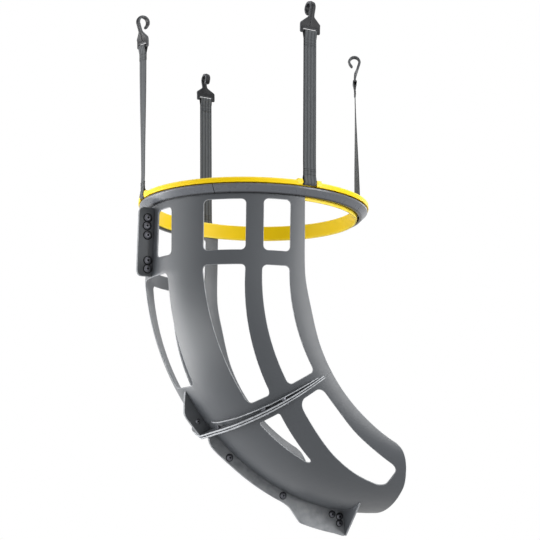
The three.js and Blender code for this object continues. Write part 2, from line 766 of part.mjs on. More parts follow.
add(group, 'mounting_ring', mountingRing(), yellowPlastic);

const rearSeams = [halfTurn - collarSeam, halfTurn + collarSeam];
add(group, 'collar_rear', collarSegment(...rearSeams), collarPlastic);
add(group, 'collar_right', collarSegment(rearSeams[1], fullTurn - collarSeam), collarPlastic);
add(group, 'collar_front', collarSegment(-collarSeam, collarSeam), collarPlastic);
add(group, 'collar_left', collarSegment(collarSeam, rearSeams[0]), collarPlastic);
collarJoints.forEach((angle, place) => {
  add(group, `collar_pin_${place + 1}`, pinAt(angle, pinRadius, pinLength), screwSteel);
});

[['right', -1], ['left', 1]].forEach(([name, side]) => {
  add(group, `upper_shell_${name}`, upperShell(side), shellPlastic);
  add(group, `lower_shell_${name}`, lowerShell(side), shellPlastic);
});

[
  ['rear_tab', tabPlaces, tabScrew],
  ['keel', keelPlaces, keelScrew],
  ['split_flange', flangePlaces, flangeScrew],
].forEach(([name, places, screw]) => places.forEach((place, count) => {
  add(group, `${name}_screw_${count + 1}`, screwBody(place, screw), screwSteel);
  add(group, `${name}_nut_${count + 1}`, nutBody(place, screw), screwSteel);
}));

straps.forEach((strap) => {
  const hanger = new THREE.Group();
  hanger.position.copy(around(barReach, strap.around, barHeight));
  hanger.rotation.z = (strap.around - quarterTurn) * degree;
  add(hanger, `strap_${strap.name}`, strapBody(strap), webbing);
  const hook = add(hanger, `hook_${strap.name}`, hookBody(), hookPlastic);
  hook.applyMatrix4(webFrame(strap, strapLength));
  group.add(hanger);
});

export default group;
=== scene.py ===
# %% [markdown]
# # A basketball return chute
# A yellow ring hangs under the hoop on four webbing straps. A grey collar clips round the ring and
# carries four moulded shells, which bolt together into a half tube that bends the ball back out.
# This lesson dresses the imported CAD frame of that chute. Lengths are in millimetres in every
# formula and become metres only when a mesh is written. +X is the way the ball rolls out.

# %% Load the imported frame
import math

import bmesh
import bpy
import numpy as np
from mathutils import Matrix, Vector
from mathutils.geometry import delaunay_2d_cdt


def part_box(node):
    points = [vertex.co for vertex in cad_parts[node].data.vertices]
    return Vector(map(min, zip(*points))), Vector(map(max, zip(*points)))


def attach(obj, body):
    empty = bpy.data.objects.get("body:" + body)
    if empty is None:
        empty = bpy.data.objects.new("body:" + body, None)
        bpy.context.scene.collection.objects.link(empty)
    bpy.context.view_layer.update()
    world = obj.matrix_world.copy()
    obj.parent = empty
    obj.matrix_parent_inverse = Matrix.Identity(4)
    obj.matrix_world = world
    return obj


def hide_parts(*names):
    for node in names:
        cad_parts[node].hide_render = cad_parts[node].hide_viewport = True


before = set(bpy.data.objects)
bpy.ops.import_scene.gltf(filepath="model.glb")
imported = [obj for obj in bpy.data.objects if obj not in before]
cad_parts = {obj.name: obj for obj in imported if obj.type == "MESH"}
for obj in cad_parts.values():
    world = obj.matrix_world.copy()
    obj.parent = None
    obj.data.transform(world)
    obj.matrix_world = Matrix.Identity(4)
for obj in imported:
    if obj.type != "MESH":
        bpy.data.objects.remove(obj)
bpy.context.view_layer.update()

MM = 0.001

# %% [markdown]
# The camera stands below the ring's height and looks up a little. Its place comes from fitting the
# ring's ellipses: 24 degrees round towards the back, 2.25 m away, with a long lens. The picture is
# 540 pixels square, so a focal length in pixels turns into millimetres on a 36 mm sensor.

# %% Camera
PICTURE = 540
FOCAL_PIXELS = 1224
SENSOR = 36
FAR_METRES = 200
CAMERA_PLACE = Vector((-890.153, -1999.316, -509.285))
CAMERA_RIGHT = Vector((0.905856, -0.423164, 0.018901))
CAMERA_UP = Vector((-0.090994, -0.150822, 0.984364))

camera_data = bpy.data.cameras.new("camera")
camera_data.sensor_width = SENSOR
camera_data.lens = FOCAL_PIXELS * SENSOR / PICTURE
camera_data.clip_end = FAR_METRES
camera = bpy.data.objects.new("camera", camera_data)
bpy.context.scene.collection.objects.link(camera)
bpy.context.scene.camera = camera
axes = Matrix((CAMERA_RIGHT, CAMERA_UP, CAMERA_RIGHT.cross(CAMERA_UP))).transposed()
camera.matrix_world = Matrix.LocRotScale(CAMERA_PLACE * MM, axes.to_quaternion(), None)
print("lens:", round(camera_data.lens, 1), "mm")

# %% [markdown]
# Every piece is one or more closed patches: an array of points and an array of faces. This helper
# stacks the patches, writes the mesh, turns all faces outwards, keeps an angle limit for smooth
# shading, and ties the piece to its CAD body. The number kept per point says where light or shade
# is painted into the skin: up to 1 on rims and faces that are painted lighter as a highlight, -1
# along a foot that gets a painted dark line of shade. On steel 1 marks painted shade in the sockets
# and under the heads, and on webbing painted shade on the selvedges and the thread's own darker
# colour.

# %% Patches become pieces
SMOOTH_LIMIT = math.radians(38)


def grid_faces(rows, columns, wrap_rows=False, wrap_columns=False):
    """Quads of a grid of points: each joins a point to its neighbours in its row and the next."""
    row = np.arange(rows if wrap_rows else rows - 1)[:, None]
    column = np.arange(columns if wrap_columns else columns - 1)[None, :]
    below, beside = (row + 1) % rows, (column + 1) % columns
    corners = [row * columns + column, row * columns + beside,
               below * columns + beside, below * columns + column]
    corners = [np.broadcast_to(corner, (row.size, column.size)) for corner in corners]
    return np.stack(corners, -1).reshape(-1, 4)


def tube(rows, painted_light_and_marks=0.0, closed=False):
    """A closed patch from rows of profiles: each profile is a closed loop, and the first and last
    are filled, unless the last row joins the first."""
    count, size = rows.shape[:2]
    faces = [grid_faces(count, size, wrap_rows=closed, wrap_columns=True)]
    if not closed:
        faces += [np.arange(size)[None, ::-1], np.arange(size)[None] + (count - 1) * size]
    return rows.reshape(-1, 3), faces, np.broadcast_to(painted_light_and_marks, (count, size)).ravel()


def make_piece(name, patches, material, body, replaces=(), uv=None, smooth=SMOOTH_LIMIT):
    """A piece from patches (points, lists of faces, painted light and marks): one patch's points
    follow the last's.
    """
    points = np.concatenate([patch[0] for patch in patches]) * MM
    painted_light_and_marks = np.concatenate([patch[2] for patch in patches]).astype(np.float32)
    faces, start = [], 0
    for patch in patches:
        for group in patch[1]:
            faces += (np.asarray(group) + start).tolist()
        start += len(patch[0])
    mesh = bpy.data.meshes.new(name)
    mesh.from_pydata(points.tolist(), [], faces)
    mesh.attributes.new("painted_light_and_marks", "FLOAT", "POINT").data.foreach_set("value", painted_light_and_marks)
    if uv is not None:
        layer = mesh.uv_layers.new(name="cloth")
        loops = np.zeros(len(mesh.loops), np.int32)
        mesh.loops.foreach_get("vertex_index", loops)
        layer.data.foreach_set("uv", uv[loops].astype(np.float32).ravel())
    work = bmesh.new()
    work.from_mesh(mesh)
    bmesh.ops.recalc_face_normals(work, faces=work.faces)
    work.to_mesh(mesh)
    work.free()
    mesh.shade_smooth()
    mesh.set_sharp_from_angle(angle=smooth)
    mesh.materials.append(material)
    piece = bpy.data.objects.new(name, mesh)
    bpy.context.scene.collection.objects.link(piece)
    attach(piece, body)
    if replaces:
        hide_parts(*replaces)
    return piece


print("shading stays smooth up to", round(math.degrees(SMOOTH_LIMIT)), "degrees between faces")

# %% [markdown]
# Materials come next, because each piece is given its finish as it is made. Colours are written as
# sRGB hex values, as a colour picker shows them, and one function turns them to the linear values
# that Blender mixes with. One more adds a node with its settings and links.

# %% Colour and node helpers
def linear(hex_colour):
    """sRGB hex to linear: divide by 12.92 near black, and elsewhere raise to the power 2.4."""
    value = np.array([int(hex_colour[i:i + 2], 16) for i in (1, 3, 5)]) / 255
    bright = ((value + 0.055) / 1.055) ** 2.4
    return (*np.where(value <= 0.04045, value / 12.92, bright), 1.0)


def node(tree, kind, inputs=(), **settings):
    """Adds one node: settings are its properties, and inputs gives sockets values or links."""
    made = tree.nodes.new(kind)
    for key, value in settings.items():
        setattr(made, key, value)
    for socket, value in dict(inputs).items():
        if isinstance(value, bpy.types.NodeSocket):
            tree.links.new(value, made.inputs[socket])
        else:
            made.inputs[socket].default_value = value
    return made


def new_material(name, **shader_values):
    """A material with a Principled shader whose plain values are set on its own sockets."""
    material = bpy.data.materials.new(name)
    material.use_nodes = True
    tree = material.node_tree
    shader = tree.nodes["Principled BSDF"]
    for socket, value in shader_values.items():
        shader.inputs[socket.replace("_", " ")].default_value = value
    return material, tree, shader


print("middle grey in linear light:", round(float(linear("#808080")[0]), 3))

# %% [markdown]
# The shells and the collar are injection-moulded polypropylene. It comes out of the mould with a
# satin skin: a fine spark-eroded grain and faint clouds where the melt flowed. Rims are painted a
# shade lighter as a highlight, in patches of scuff noise, and where the number kept per point is
# below 0 a painted dark shade takes over. Noise at three real sizes gives grain, clouds and scuffs.
# The real grain is about 0.2 mm and would not show, so it is drawn at 1.2 mm. The ring is the same
# plastic in yellow, and the hooks are nylon.

# %% Moulded plastic
GRAIN_MM, SCUFF_MM, CLOUD_MM = 1.2, 14, 90
GLOSS_BELOW, GLOSS_ABOVE = 0.05, 0.07
GRAIN_STRENGTH, BUMP_METRES = 0.12, 0.0004
PAINTED_SHADE_COLOUR = "#111214"


def moulded(name, colour, cloud_colour, rim_highlight_colour, roughness, shine, cloud_mm=CLOUD_MM):
    """Base colour with soft clouds, a painted highlight on rims, painted shade where the number is
    below 0, and a bump of fine grain.
    """
    material, tree, shader = new_material(name, IOR=1.49, Specular_IOR_Level=shine)
    place = node(tree, "ShaderNodeTexCoord").outputs["Object"]
    cloud = node(tree, "ShaderNodeTexNoise", {"Vector": place, "Scale": 1000 / cloud_mm,
                                              "Detail": 3.0, "Roughness": 0.5})
    shaded = node(tree, "ShaderNodeMix", {"Factor": cloud.outputs["Fac"], 6: linear(colour),
                                          7: linear(cloud_colour)}, data_type="RGBA")
    painted_light_and_marks = node(tree, "ShaderNodeAttribute", attribute_name="painted_light_and_marks")
    scuff = node(tree, "ShaderNodeTexNoise", {"Vector": place, "Scale": 1000 / SCUFF_MM,
                                              "Detail": 4.0})
    patchy = node(tree, "ShaderNodeMath", {0: painted_light_and_marks.outputs["Fac"], 1: scuff.outputs["Fac"]},
                  operation="MULTIPLY", use_clamp=True)
    # Painted highlight: rims and marked faces turn lighter, in patches of scuff noise.
    rim_lit = node(tree, "ShaderNodeMix", {"Factor": patchy.outputs[0], 6: shaded.outputs[2],
                                        7: linear(rim_highlight_colour)}, data_type="RGBA")
    # Painted shade: where the number kept per point is below 0, the colour turns near black.
    shade_share = node(tree, "ShaderNodeMath", {0: painted_light_and_marks.outputs["Fac"], 1: -1.0}, operation="MULTIPLY",
                 use_clamp=True)
    painted_colour = node(tree, "ShaderNodeMix", {"Factor": shade_share.outputs[0], 6: rim_lit.outputs[2],
                                         7: linear(PAINTED_SHADE_COLOUR)}, data_type="RGBA")
    tree.links.new(painted_colour.outputs[2], shader.inputs["Base Color"])
    gloss = node(tree, "ShaderNodeMapRange", {"Value": scuff.outputs["Fac"],
                                              "To Min": roughness - GLOSS_BELOW,
                                              "To Max": roughness + GLOSS_ABOVE})
    tree.links.new(gloss.outputs[0], shader.inputs["Roughness"])
    grain = node(tree, "ShaderNodeTexNoise", {"Vector": place, "Scale": 1000 / GRAIN_MM,
                                              "Detail": 2.0})
    bump = node(tree, "ShaderNodeBump", {"Height": grain.outputs["Fac"],
                                         "Strength": GRAIN_STRENGTH, "Distance": BUMP_METRES})
    tree.links.new(bump.outputs[0], shader.inputs["Normal"])
    return material


shell_plastic = moulded("polypropylene_moulded_dark_grey", "#4d5054", "#53565a", "#b4b7bb",
                        roughness=0.36, shine=0.35)
collar_plastic = moulded("polypropylene_moulded_grey", "#5b5e64", "#61646a", "#b0b3b7",
                         roughness=0.27, shine=0.45)
yellow_plastic = moulded("polypropylene_moulded_yellow", "#ffd900", "#fdd400", "#ffec66",
                         roughness=0.42, shine=0.25)
hook_plastic = moulded("nylon_moulded_charcoal", "#191a1c", "#1e1f22", "#74767a",
                       roughness=0.45, shine=0.18, cloud_mm=20)
print("plastics:", [m.name for m in (shell_plastic, collar_plastic, yellow_plastic, hook_plastic)])

# %% [markdown]
# The screws and nuts are blackened steel: a thin black oxide on bare metal, so the highlights are
# dark grey and slightly broken up by the wrench. The socket floors, the edges under the heads and
# the washers are painted near black as shade, where the number kept per point is 1.

# %% Blackened steel
OXIDE_MM = 2.5
OXIDE_GLOSS = 0.30, 0.48

dark_steel, steel_tree, steel = new_material("steel_black_oxide", Metallic=0.85)
steel_place = node(steel_tree, "ShaderNodeTexCoord").outputs["Object"]
steel_noise = node(steel_tree, "ShaderNodeTexNoise", {"Vector": steel_place,
                                                      "Scale": 1000 / OXIDE_MM, "Detail": 5.0})
steel_shade = node(steel_tree, "ShaderNodeMix", {"Factor": steel_noise.outputs["Fac"],
                                                 6: linear("#3d3e43"), 7: linear("#707177")},
                   data_type="RGBA")
# Painted shade: the sockets, the edges under the heads and the washers turn near black.
steel_painted_shade = node(steel_tree, "ShaderNodeAttribute", attribute_name="painted_light_and_marks")
steel_final = node(steel_tree, "ShaderNodeMix", {"Factor": steel_painted_shade.outputs["Fac"],
                                                 6: steel_shade.outputs[2], 7: linear("#0c0d0e")},
                   data_type="RGBA")
steel_tree.links.new(steel_final.outputs[2], steel.inputs["Base Color"])
steel_gloss = node(steel_tree, "ShaderNodeMapRange", {"Value": steel_noise.outputs["Fac"],
                                                      "To Min": OXIDE_GLOSS[0],
                                                      "To Max": OXIDE_GLOSS[1]})
steel_tree.links.new(steel_gloss.outputs[0], steel.inputs["Roughness"])
print("steel nodes:", len(steel_tree.nodes))

# %% [markdown]
# The straps are woven polypropylene webbing, 25.4 mm wide. Its warp runs in lengthwise ribs and
# the weft crosses them, which gives rows of small bumps. The pattern follows the strap, so it
# reads the piece's own UV map, in millimetres across and along. Real ribs are about 1.6 mm apart
# and the weft 1.1 mm, and both are drawn at that size; four broad ribs show from further away.
# The colour is painted darker in the grooves between the ribs and threads, as painted shade, and
# the selvedges are painted darker as shade on their rounded edges. Dust lies in patches about 3 mm
# across.

# %% Woven webbing
WARP_MM, WEFT_MM, BROAD_RIB_MM, DUST_MM = 1.6, 1.1, 6.35, 1 / 0.35
RIB_POWER, WEAVE_SHARE, DUST_SHARE, WEAVE_STRENGTH = 0.35, 0.4, 0.45, 0.5

webbing, web_tree, web = new_material("polypropylene_woven_webbing", Sheen_Weight=0.1,
                                      Sheen_Roughness=0.5, IOR=1.49, Specular_IOR_Level=0.2,
                                      Roughness=0.78)
cloth_place = node(web_tree, "ShaderNodeUVMap", uv_map="cloth").outputs["UV"]
cloth_axes = node(web_tree, "ShaderNodeSeparateXYZ", {"Vector": cloth_place})


def wave_along(tree, source, period_mm):
    """A wave from 0 to 1 over a length: half of one plus the sine of its angle."""
    angle = node(tree, "ShaderNodeMath", {0: source, 1: 2 * math.pi / period_mm},
                 operation="MULTIPLY")
    sine = node(tree, "ShaderNodeMath", {0: angle.outputs[0]}, operation="SINE")
    return node(tree, "ShaderNodeMapRange", {"Value": sine.outputs[0],
                                             "From Min": -1.0}).outputs[0]


warp = wave_along(web_tree, cloth_axes.outputs["X"], WARP_MM)
weft = wave_along(web_tree, cloth_axes.outputs["Y"], WEFT_MM)
broad = wave_along(web_tree, cloth_axes.outputs["X"], BROAD_RIB_MM)
weave = node(web_tree, "ShaderNodeMath", {0: warp, 1: weft}, operation="MULTIPLY")
band = node(web_tree, "ShaderNodeMath", {0: broad, 1: RIB_POWER}, operation="POWER")
fine = node(web_tree, "ShaderNodeMath", {0: weave.outputs[0], 1: WEAVE_SHARE},
            operation="MULTIPLY")
# Painted shade: the colour darkens in the grooves between the broad ribs and between the threads.
rib_shade_share = node(web_tree, "ShaderNodeMath", {0: fine.outputs[0], 1: band.outputs[0],
                                                2: band.outputs[0]}, operation="MULTIPLY_ADD")
rib_shade_colour = node(web_tree, "ShaderNodeMix", {"Factor": rib_shade_share.outputs[0],
                                                6: linear("#202124"), 7: linear("#606365")},
                    data_type="RGBA")
dust = node(web_tree, "ShaderNodeTexNoise", {"Vector": cloth_place, "Scale": 1 / DUST_MM,
                                             "Detail": 4.0})
dust_share = node(web_tree, "ShaderNodeMapRange", {"Value": dust.outputs["Fac"],
                                                   "To Max": DUST_SHARE})
dusty = node(web_tree, "ShaderNodeMix", {"Factor": dust_share.outputs[0],
                                         6: rib_shade_colour.outputs[2], 7: linear("#47494c")},
             data_type="RGBA")
# Painted shade on the rounded selvedges; the thread is this dark in its own colour.
edge_shade_and_thread = node(web_tree, "ShaderNodeAttribute", attribute_name="painted_light_and_marks")
cloth_final = node(web_tree, "ShaderNodeMix", {"Factor": edge_shade_and_thread.outputs["Fac"],
                                               6: dusty.outputs[2], 7: linear("#18191b")},
                   data_type="RGBA")
web_tree.links.new(cloth_final.outputs[2], web.inputs["Base Color"])
cloth_bump = node(web_tree, "ShaderNodeBump", {"Height": weave.outputs[0],
                                               "Strength": WEAVE_STRENGTH,
                                               "Distance": BUMP_METRES})
web_tree.links.new(cloth_bump.outputs[0], web.inputs["Normal"])
print("webbing nodes:", len(web_tree.nodes))

# %% [markdown]
# Now the shapes. Most parts of the chute are sheets: the shell walls with their windows, the
# flanges, the keel plates and the rear tab. One function makes them all. It takes a surface as a
# function of two parameters and a lift, an outline and its holes in those parameters, and gives a
# closed sheet with rounded rims. A plain grid with holes cut by booleans would leave ragged rims,
# so the flat is triangulated inside the exact outlines, and the rim is a rounded profile carried
# along each outline. First come the helpers that draw outlines.

# %% Outlines
ARC_STEP = math.radians(15)


def rounded(corners, radii):
    """A polygon whose corners become arcs: each arc touches both sides at radius times the
    tangent of half the turn from the corner, and its centre lies square to the first side."""
    corners = np.asarray(corners, float)
    radii = np.broadcast_to(radii, len(corners))
    out = []
    for i, (corner, radius) in enumerate(zip(corners, radii)):
        if radius == 0:
            out.append(corner[None])
            continue
        before, after = corners[i - 1], corners[(i + 1) % len(corners)]
        way_in = (corner - before) / np.linalg.norm(corner - before)
        way_out = (after - corner) / np.linalg.norm(after - corner)
        turn = math.atan2(way_in[0] * way_out[1] - way_in[1] * way_out[0], way_in @ way_out)
        cut = radius * math.tan(abs(turn) / 2)
        square = np.array([-way_in[1], way_in[0]]) * np.sign(turn)
        centre = corner - way_in * cut + square * radius
        angles = np.linspace(0, abs(turn), max(2, round(abs(turn) / ARC_STEP) + 1))
        arc = np.outer(np.sin(angles), way_in) - np.outer(np.cos(angles), square)
        out.append(centre + radius * arc)
    return np.concatenate(out)


def densify(points, step):
    """Puts extra points on long sides of a loop, so that none is longer than the step."""
    after = np.roll(points, -1, 0)
    counts = np.ceil(np.linalg.norm(after - points, axis=1) / step).astype(int)
    counts = np.maximum(counts, 1)
    side = np.repeat(np.arange(len(points)), counts)
    first = np.repeat(np.cumsum(counts) - counts, counts)
    share = (np.arange(counts.sum()) - first) / counts[side]
    return points[side] + (after - points)[side] * share[:, None]


def flowing(points, per_span):
    """A smooth path through points: the cubic of each span has, at a point, half of the chord
    between its two neighbours as its slope."""
    points = np.asarray(points, float)
    ends = [2 * points[0] - points[1]], [2 * points[-1] - points[-2]]
    padded = np.concatenate([ends[0], points, ends[1]])
    a, b, c, d = (padded[k:len(padded) - 3 + k, None, :] for k in range(4))
    t = np.linspace(0, 1, per_span, endpoint=False)[None, :, None]
    square, cube = 2 * a - 5 * b + 4 * c - d, 3 * b - a - 3 * c + d
    curve = 0.5 * (2 * b + (c - a) * t + square * t**2 + cube * t**3)
    return np.concatenate([curve.reshape(-1, points.shape[1]), points[-1:]])


def inside(points, loops):
    """Even-odd rule: a point is inside if a ray to the right crosses the loops an odd number of
    times."""
    count = np.zeros(len(points), int)
    for loop in loops:
        (x0, y0), (x1, y1) = loop.T, np.roll(loop, -1, 0).T
        px, py = points[:, :1], points[:, 1:]
        spans = (y0 <= py) != (y1 <= py)
        with np.errstate(divide="ignore", invalid="ignore"):
            crossing = x0 + (py - y0) / (y1 - y0) * (x1 - x0)
        count += (spans & (px < crossing)).sum(1)
    return count % 2 == 1


square_loop = rounded([[0, 0], [10, 0], [10, 10], [0, 10]], 2)
print("a rounded square has", len(square_loop), "points, and at most 1 mm apart it has",
      len(densify(square_loop, 1.0)))

# %% [markdown]
# A sheet's rim needs room for its rounding. At each outline point the two slopes of the surface
# say how far a step in the parameters reaches in millimetres, so the inset is exact on the curved
# wall as well. A row of supporting points just inside the rim keeps its shading crisp, and
# a grid of points in triangles fills the rest.

# %% Insets and flat meshes
SUPPORT = 1.3
SLOPE_STEP = 0.01
SUPPORT_CLEARANCE, FILL_CLEARANCE = 0.7, 0.45
SAME_POINT = 1e-5


def inset(surface, loop, material_left):
    """Moves a loop into the material: the step lies square to the loop on the surface, and the
    two by two system of the surface's slopes turns its millimetres into parameters."""
    h = SLOPE_STEP
    u, v = loop.T
    along_u = (surface(u + h, v, 0) - surface(u - h, v, 0)) / (2 * h)
    along_v = (surface(u, v + h, 0) - surface(u, v - h, 0)) / (2 * h)
    place = surface(u, v, 0)
    tangent = np.roll(place, -1, 0) - np.roll(place, 1, 0)
    normal = np.cross(along_u, along_v)
    inwards = np.cross(normal, tangent) * (1 if material_left else -1)
    inwards /= np.linalg.norm(inwards, axis=1)[:, None]
    uu, uv, vv = ((first * second).sum(1) for first, second in (
        (along_u, along_u), (along_u, along_v), (along_v, along_v)))
    a, b = (inwards * along_u).sum(1), (inwards * along_v).sum(1)
    scale = uu * vv - uv**2
    step = np.stack([(a * vv - b * uv) / scale, (b * uu - a * uv) / scale], 1)
    return lambda distance: loop + step * distance


def away_from(points, others, distance):
    """Keeps the points that are further than a distance from all the others."""
    gaps = ((points[:, None] - others[None]) ** 2).sum(2).min(1)
    return points[gaps > distance**2]


def fill_points(outline, borders, taken, spacing):
    """A grid inside the borders, away from the points already taken: every other row is moved by
    half the spacing, which gives nearly even triangles."""
    low, high = outline.min(0), outline.max(0)
    gx, gy = (np.arange(a + spacing / 2, b, spacing) for a, b in zip(low, high))
    grid = np.stack(np.meshgrid(gx, gy), -1).reshape(-1, 2)
    grid[:, 0] += (np.round((grid[:, 1] - low[1]) / spacing) % 2) * spacing / 2
    return away_from(grid[inside(grid, borders)], taken, FILL_CLEARANCE * spacing)


def triangulated(flat, edges, borders):
    """A Delaunay mesh of flat points that keeps the given edges and leaves out what lies outside
    the borders: its points, its triangles, and where each given point went."""
    flat_vectors = [Vector(point) for point in flat.tolist()]
    made = delaunay_2d_cdt(flat_vectors, edges.tolist(), [], 0, SAME_POINT)
    points, triangles, origins = np.array([tuple(p) for p in made[0]]), np.array(made[2]), made[3]
    went = np.zeros(len(flat), int)
    went[np.concatenate(origins).astype(int)] = np.repeat(
        np.arange(len(points)), [len(group) for group in origins])
    triangles = triangles[inside(points[triangles].mean(1), borders)]
    used = np.unique(triangles)
    shrink = np.zeros(len(points), int)
    shrink[used] = np.arange(len(used))
    return points[used], shrink[triangles], shrink[went]


print("rows of support stand", SUPPORT, "mm inside each rim")

# %% [markdown]
# The sheet puts these together. Its two faces are the same flat mesh, once at lift 0 and once at
# minus the thickness, and rings of points along each outline join them round the rim. The rings
# are marked for a painted highlight, which draws the rims lighter.

# %% The sheet
RIM_STEPS = 4


def sheet(surface, outline, holes=(), *, thickness, rim=0.9, spacing=5.0):
    """A closed sheet between lift 0 and minus its thickness. The flat is a Delaunay mesh inside
    the inset outlines. The rim runs round two quarter circles: inset rim times one minus the
    sine, and lift rim times the cosine, from each face."""
    loops = [outline, *holes]
    moves = []
    for number, loop in enumerate(loops):
        x, y = loop.T
        left = (x * np.roll(y, -1) - y * np.roll(x, -1)).sum() > 0
        moves.append(inset(surface, loop, left == (number == 0)))
    borders = [move(rim) for move in moves]
    border = np.concatenate(borders)
    sizes = np.array([len(loop) for loop in loops])
    starts = np.cumsum(sizes) - sizes
    edges = [np.stack([np.arange(size), np.roll(np.arange(size), -1)], 1) + start
             for size, start in zip(sizes, starts)]
    support = np.concatenate([move(rim + SUPPORT) for move in moves])
    support = away_from(support[inside(support, borders)], border, SUPPORT_CLEARANCE * SUPPORT)
    taken = np.concatenate([border, support])
    flat = np.concatenate([taken, fill_points(outline, borders, taken, spacing)])
    flat, triangles, went = triangulated(flat, np.concatenate(edges), borders)
    u, v = flat.T
    count = len(flat)
    points = [surface(u, v, 0), surface(u, v, -thickness)]
    painted_light_and_marks = [np.zeros(2 * count)]
    faces = [triangles, triangles[:, ::-1] + count]
    offset = 2 * count
    quarter = np.linspace(0, math.pi / 2, RIM_STEPS + 1)
    shifts = np.concatenate([rim * (1 - np.sin(quarter)), rim * (1 - np.cos(quarter))])[1:-1]
    lifts = np.concatenate([rim * np.cos(quarter) - rim,
                            rim - thickness - rim * np.sin(quarter)])[1:-1]
    for move, size, start in zip(moves, sizes, starts):
        rings = [went[start:start + size]]
        for shift, lift in zip(shifts, lifts):
            u, v = move(shift).T
            points.append(surface(u, v, lift))
            # Rim rings get a painted highlight.
            painted_light_and_marks.append(np.ones(size))
            rings.append(np.arange(size) + offset)
            offset += size
        rings.append(went[start:start + size] + count)
        faces += [np.stack([one, np.roll(one, -1), np.roll(two, -1), two], 1)
                  for one, two in zip(rings, rings[1:])]
    return np.concatenate(points), faces, np.concatenate(painted_light_and_marks)


print("each rim runs over", 2 * RIM_STEPS, "rings of points between the two faces")

# %% [markdown]
# The chute's wall is a half ellipse carried along a centre line that first runs straight down and
# then bends out. It stays as wide as the ring and gets shallower towards the exit, so the ball
# slows and leaves level. Run is the length along the centre line, turn the degrees from the keel.

# %% The chute's surface
RADIUS, WALL = 192.5, 2.7
STRAIGHT, BEND = 150.0, 300.0
EXIT_DEPTH = 103.5
SPLIT, LENGTH = 334.0, 589.8
BEND_SPAN = (LENGTH - STRAIGHT) / BEND
ARC = RADIUS * math.pi / 180
GAP = 0.15
KEEL_TURN = math.degrees(math.asin(GAP / RADIUS))
FRONT_EDGE = [92.8, 93.1, 93.5, 95.7, 94.8, 93.6, 92, 89, 86.5]


def chute(run, turn, lift, side):
    """Centre line plus the half ellipse: down times depth times cosine, and across times radius
    times sine. Depth falls in proportion to the bend's angle."""
    run, turn, lift = np.broadcast_arrays(np.asarray(run, float), turn, lift)
    bend = np.maximum(run - STRAIGHT, 0) / BEND
    depth = RADIUS - (RADIUS - EXIT_DEPTH) * bend / BEND_SPAN
    down = (depth + lift) * np.cos(np.radians(turn))
    return np.stack([
        BEND * (1 - np.cos(bend)) - down * np.cos(bend),
        side * (RADIUS + lift) * np.sin(np.radians(turn)),
        -np.minimum(run, STRAIGHT) - BEND * np.sin(bend) - down * np.sin(bend),
    ], -1)


def wall_surface(side):
    """The wall in the plane of (run, turn times the length of one degree)."""
    return lambda u, v, lift: chute(u, v / ARC, lift, side)


def through(values, share):
    """A smooth curve through evenly spaced values."""
    path = flowing(np.stack([np.linspace(0, 1, len(values)), values], 1), 16)
    return np.interp(share, path[:, 0], path[:, 1])


def front_turn(run):
    """The turn at which the wall ends at the front."""
    return through(FRONT_EDGE, np.asarray(run) / LENGTH)


for name in ("upper_shell_right", "lower_shell_right"):
    low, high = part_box(name)
    print(name, [round(v * 1000) for v in (*low, *high)])

# %% [markdown]
# Each window is a rounded rectangle between two edges that run down the wall. It is drawn as a
# rectangle of run against the share between the two edges, so slanted and curved edges come by
# themselves, and the corner radius is divided by the window's width at that end. The edges are
# lists of turns at even steps down the window.

# %% Windows
CORNER_SHARE = 0.45


def window(top, height, keel_side, front_side, corner=8.0):
    """Loop of (run, arc length): the arc length goes from one edge's degrees to the other's by the
    share across. A corner takes at most a set share of the narrower end."""
    ends = [(through(front_side, end) - through(keel_side, end)) * ARC for end in (0, 1)]
    radius = min(corner, CORNER_SHARE * min(ends))
    quarter = np.linspace(0, math.pi / 2, 8)
    run, share = [], []
    for end, across in ((0, 0), (0, 1), (1, 1), (1, 0)):
        angles = quarter if end == across else quarter[::-1]
        away, beside = radius * (1 - np.sin(angles)), radius / ends[end] * (1 - np.cos(angles))
        run.append(top + away if end == 0 else top + height - away)
        share.append(beside if across == 0 else 1 - beside)
    corners = np.stack([np.concatenate(run), np.concatenate(share) * ends[0]], 1)
    loop = densify(corners, 4.0)
    run, share = loop[:, 0], loop[:, 1] / ends[0]
    way = (run - top) / height
    turn = through(keel_side, way) * (1 - share) + through(front_side, way) * share
    return np.stack([run, turn * ARC], 1)


TOP_FOOT = 120.0
TOP_WINDOWS = [
    (36.5, [6.5, 6.5], [18.7, 19.8]),
    (33.5, [40, 40.5], [62.2, 62.4]),
    (32.0, [71.2, 71.4], [85, 85]),
]
MIDDLE_TOP, MIDDLE_HEIGHT = 145.0, 172.5
MIDDLE_WINDOWS = [([40.5, 40.5], [62.8, 55]), ([71.2, 66.8], [85, 84.2])]
LOWER_TOP = 344.5
upper_windows = [window(top, TOP_FOOT - top, *edges) for top, *edges in TOP_WINDOWS]
upper_windows += [window(MIDDLE_TOP, MIDDLE_HEIGHT, *edges) for edges in MIDDLE_WINDOWS]
lower_windows = [
    window(LOWER_TOP, 79.0, [38.5, 39.8, 42.0], [52.8, 49.0, 44.8]),
    window(LOWER_TOP, 185.0, [66.5, 62.4, 57.5, 53.7, 51.8], [83, 82, 79, 75.8, 71], corner=14.0),
]
print("window points:", [len(w) for w in upper_windows + lower_windows])

# %% [markdown]
# The upper shell reaches from the collar to the split. Its keel edge is cut back below the rear
# tab, so that fingers can reach the screws. The lower shell starts at the split, and its rim
# sweeps up at the front, where the ball leaves. Both outlines are paths of run and arc length.

# %% Outlines of the walls
SHELL_TOP = 17.5
UPPER_FOOT, LOWER_HEAD = SPLIT - GAP, SPLIT + GAP
NOTCH_TOP, NOTCH_FOOT = 151, 276
NOTCH_TURNS = 17.5, 12.2
EXIT_RUN = 255.8
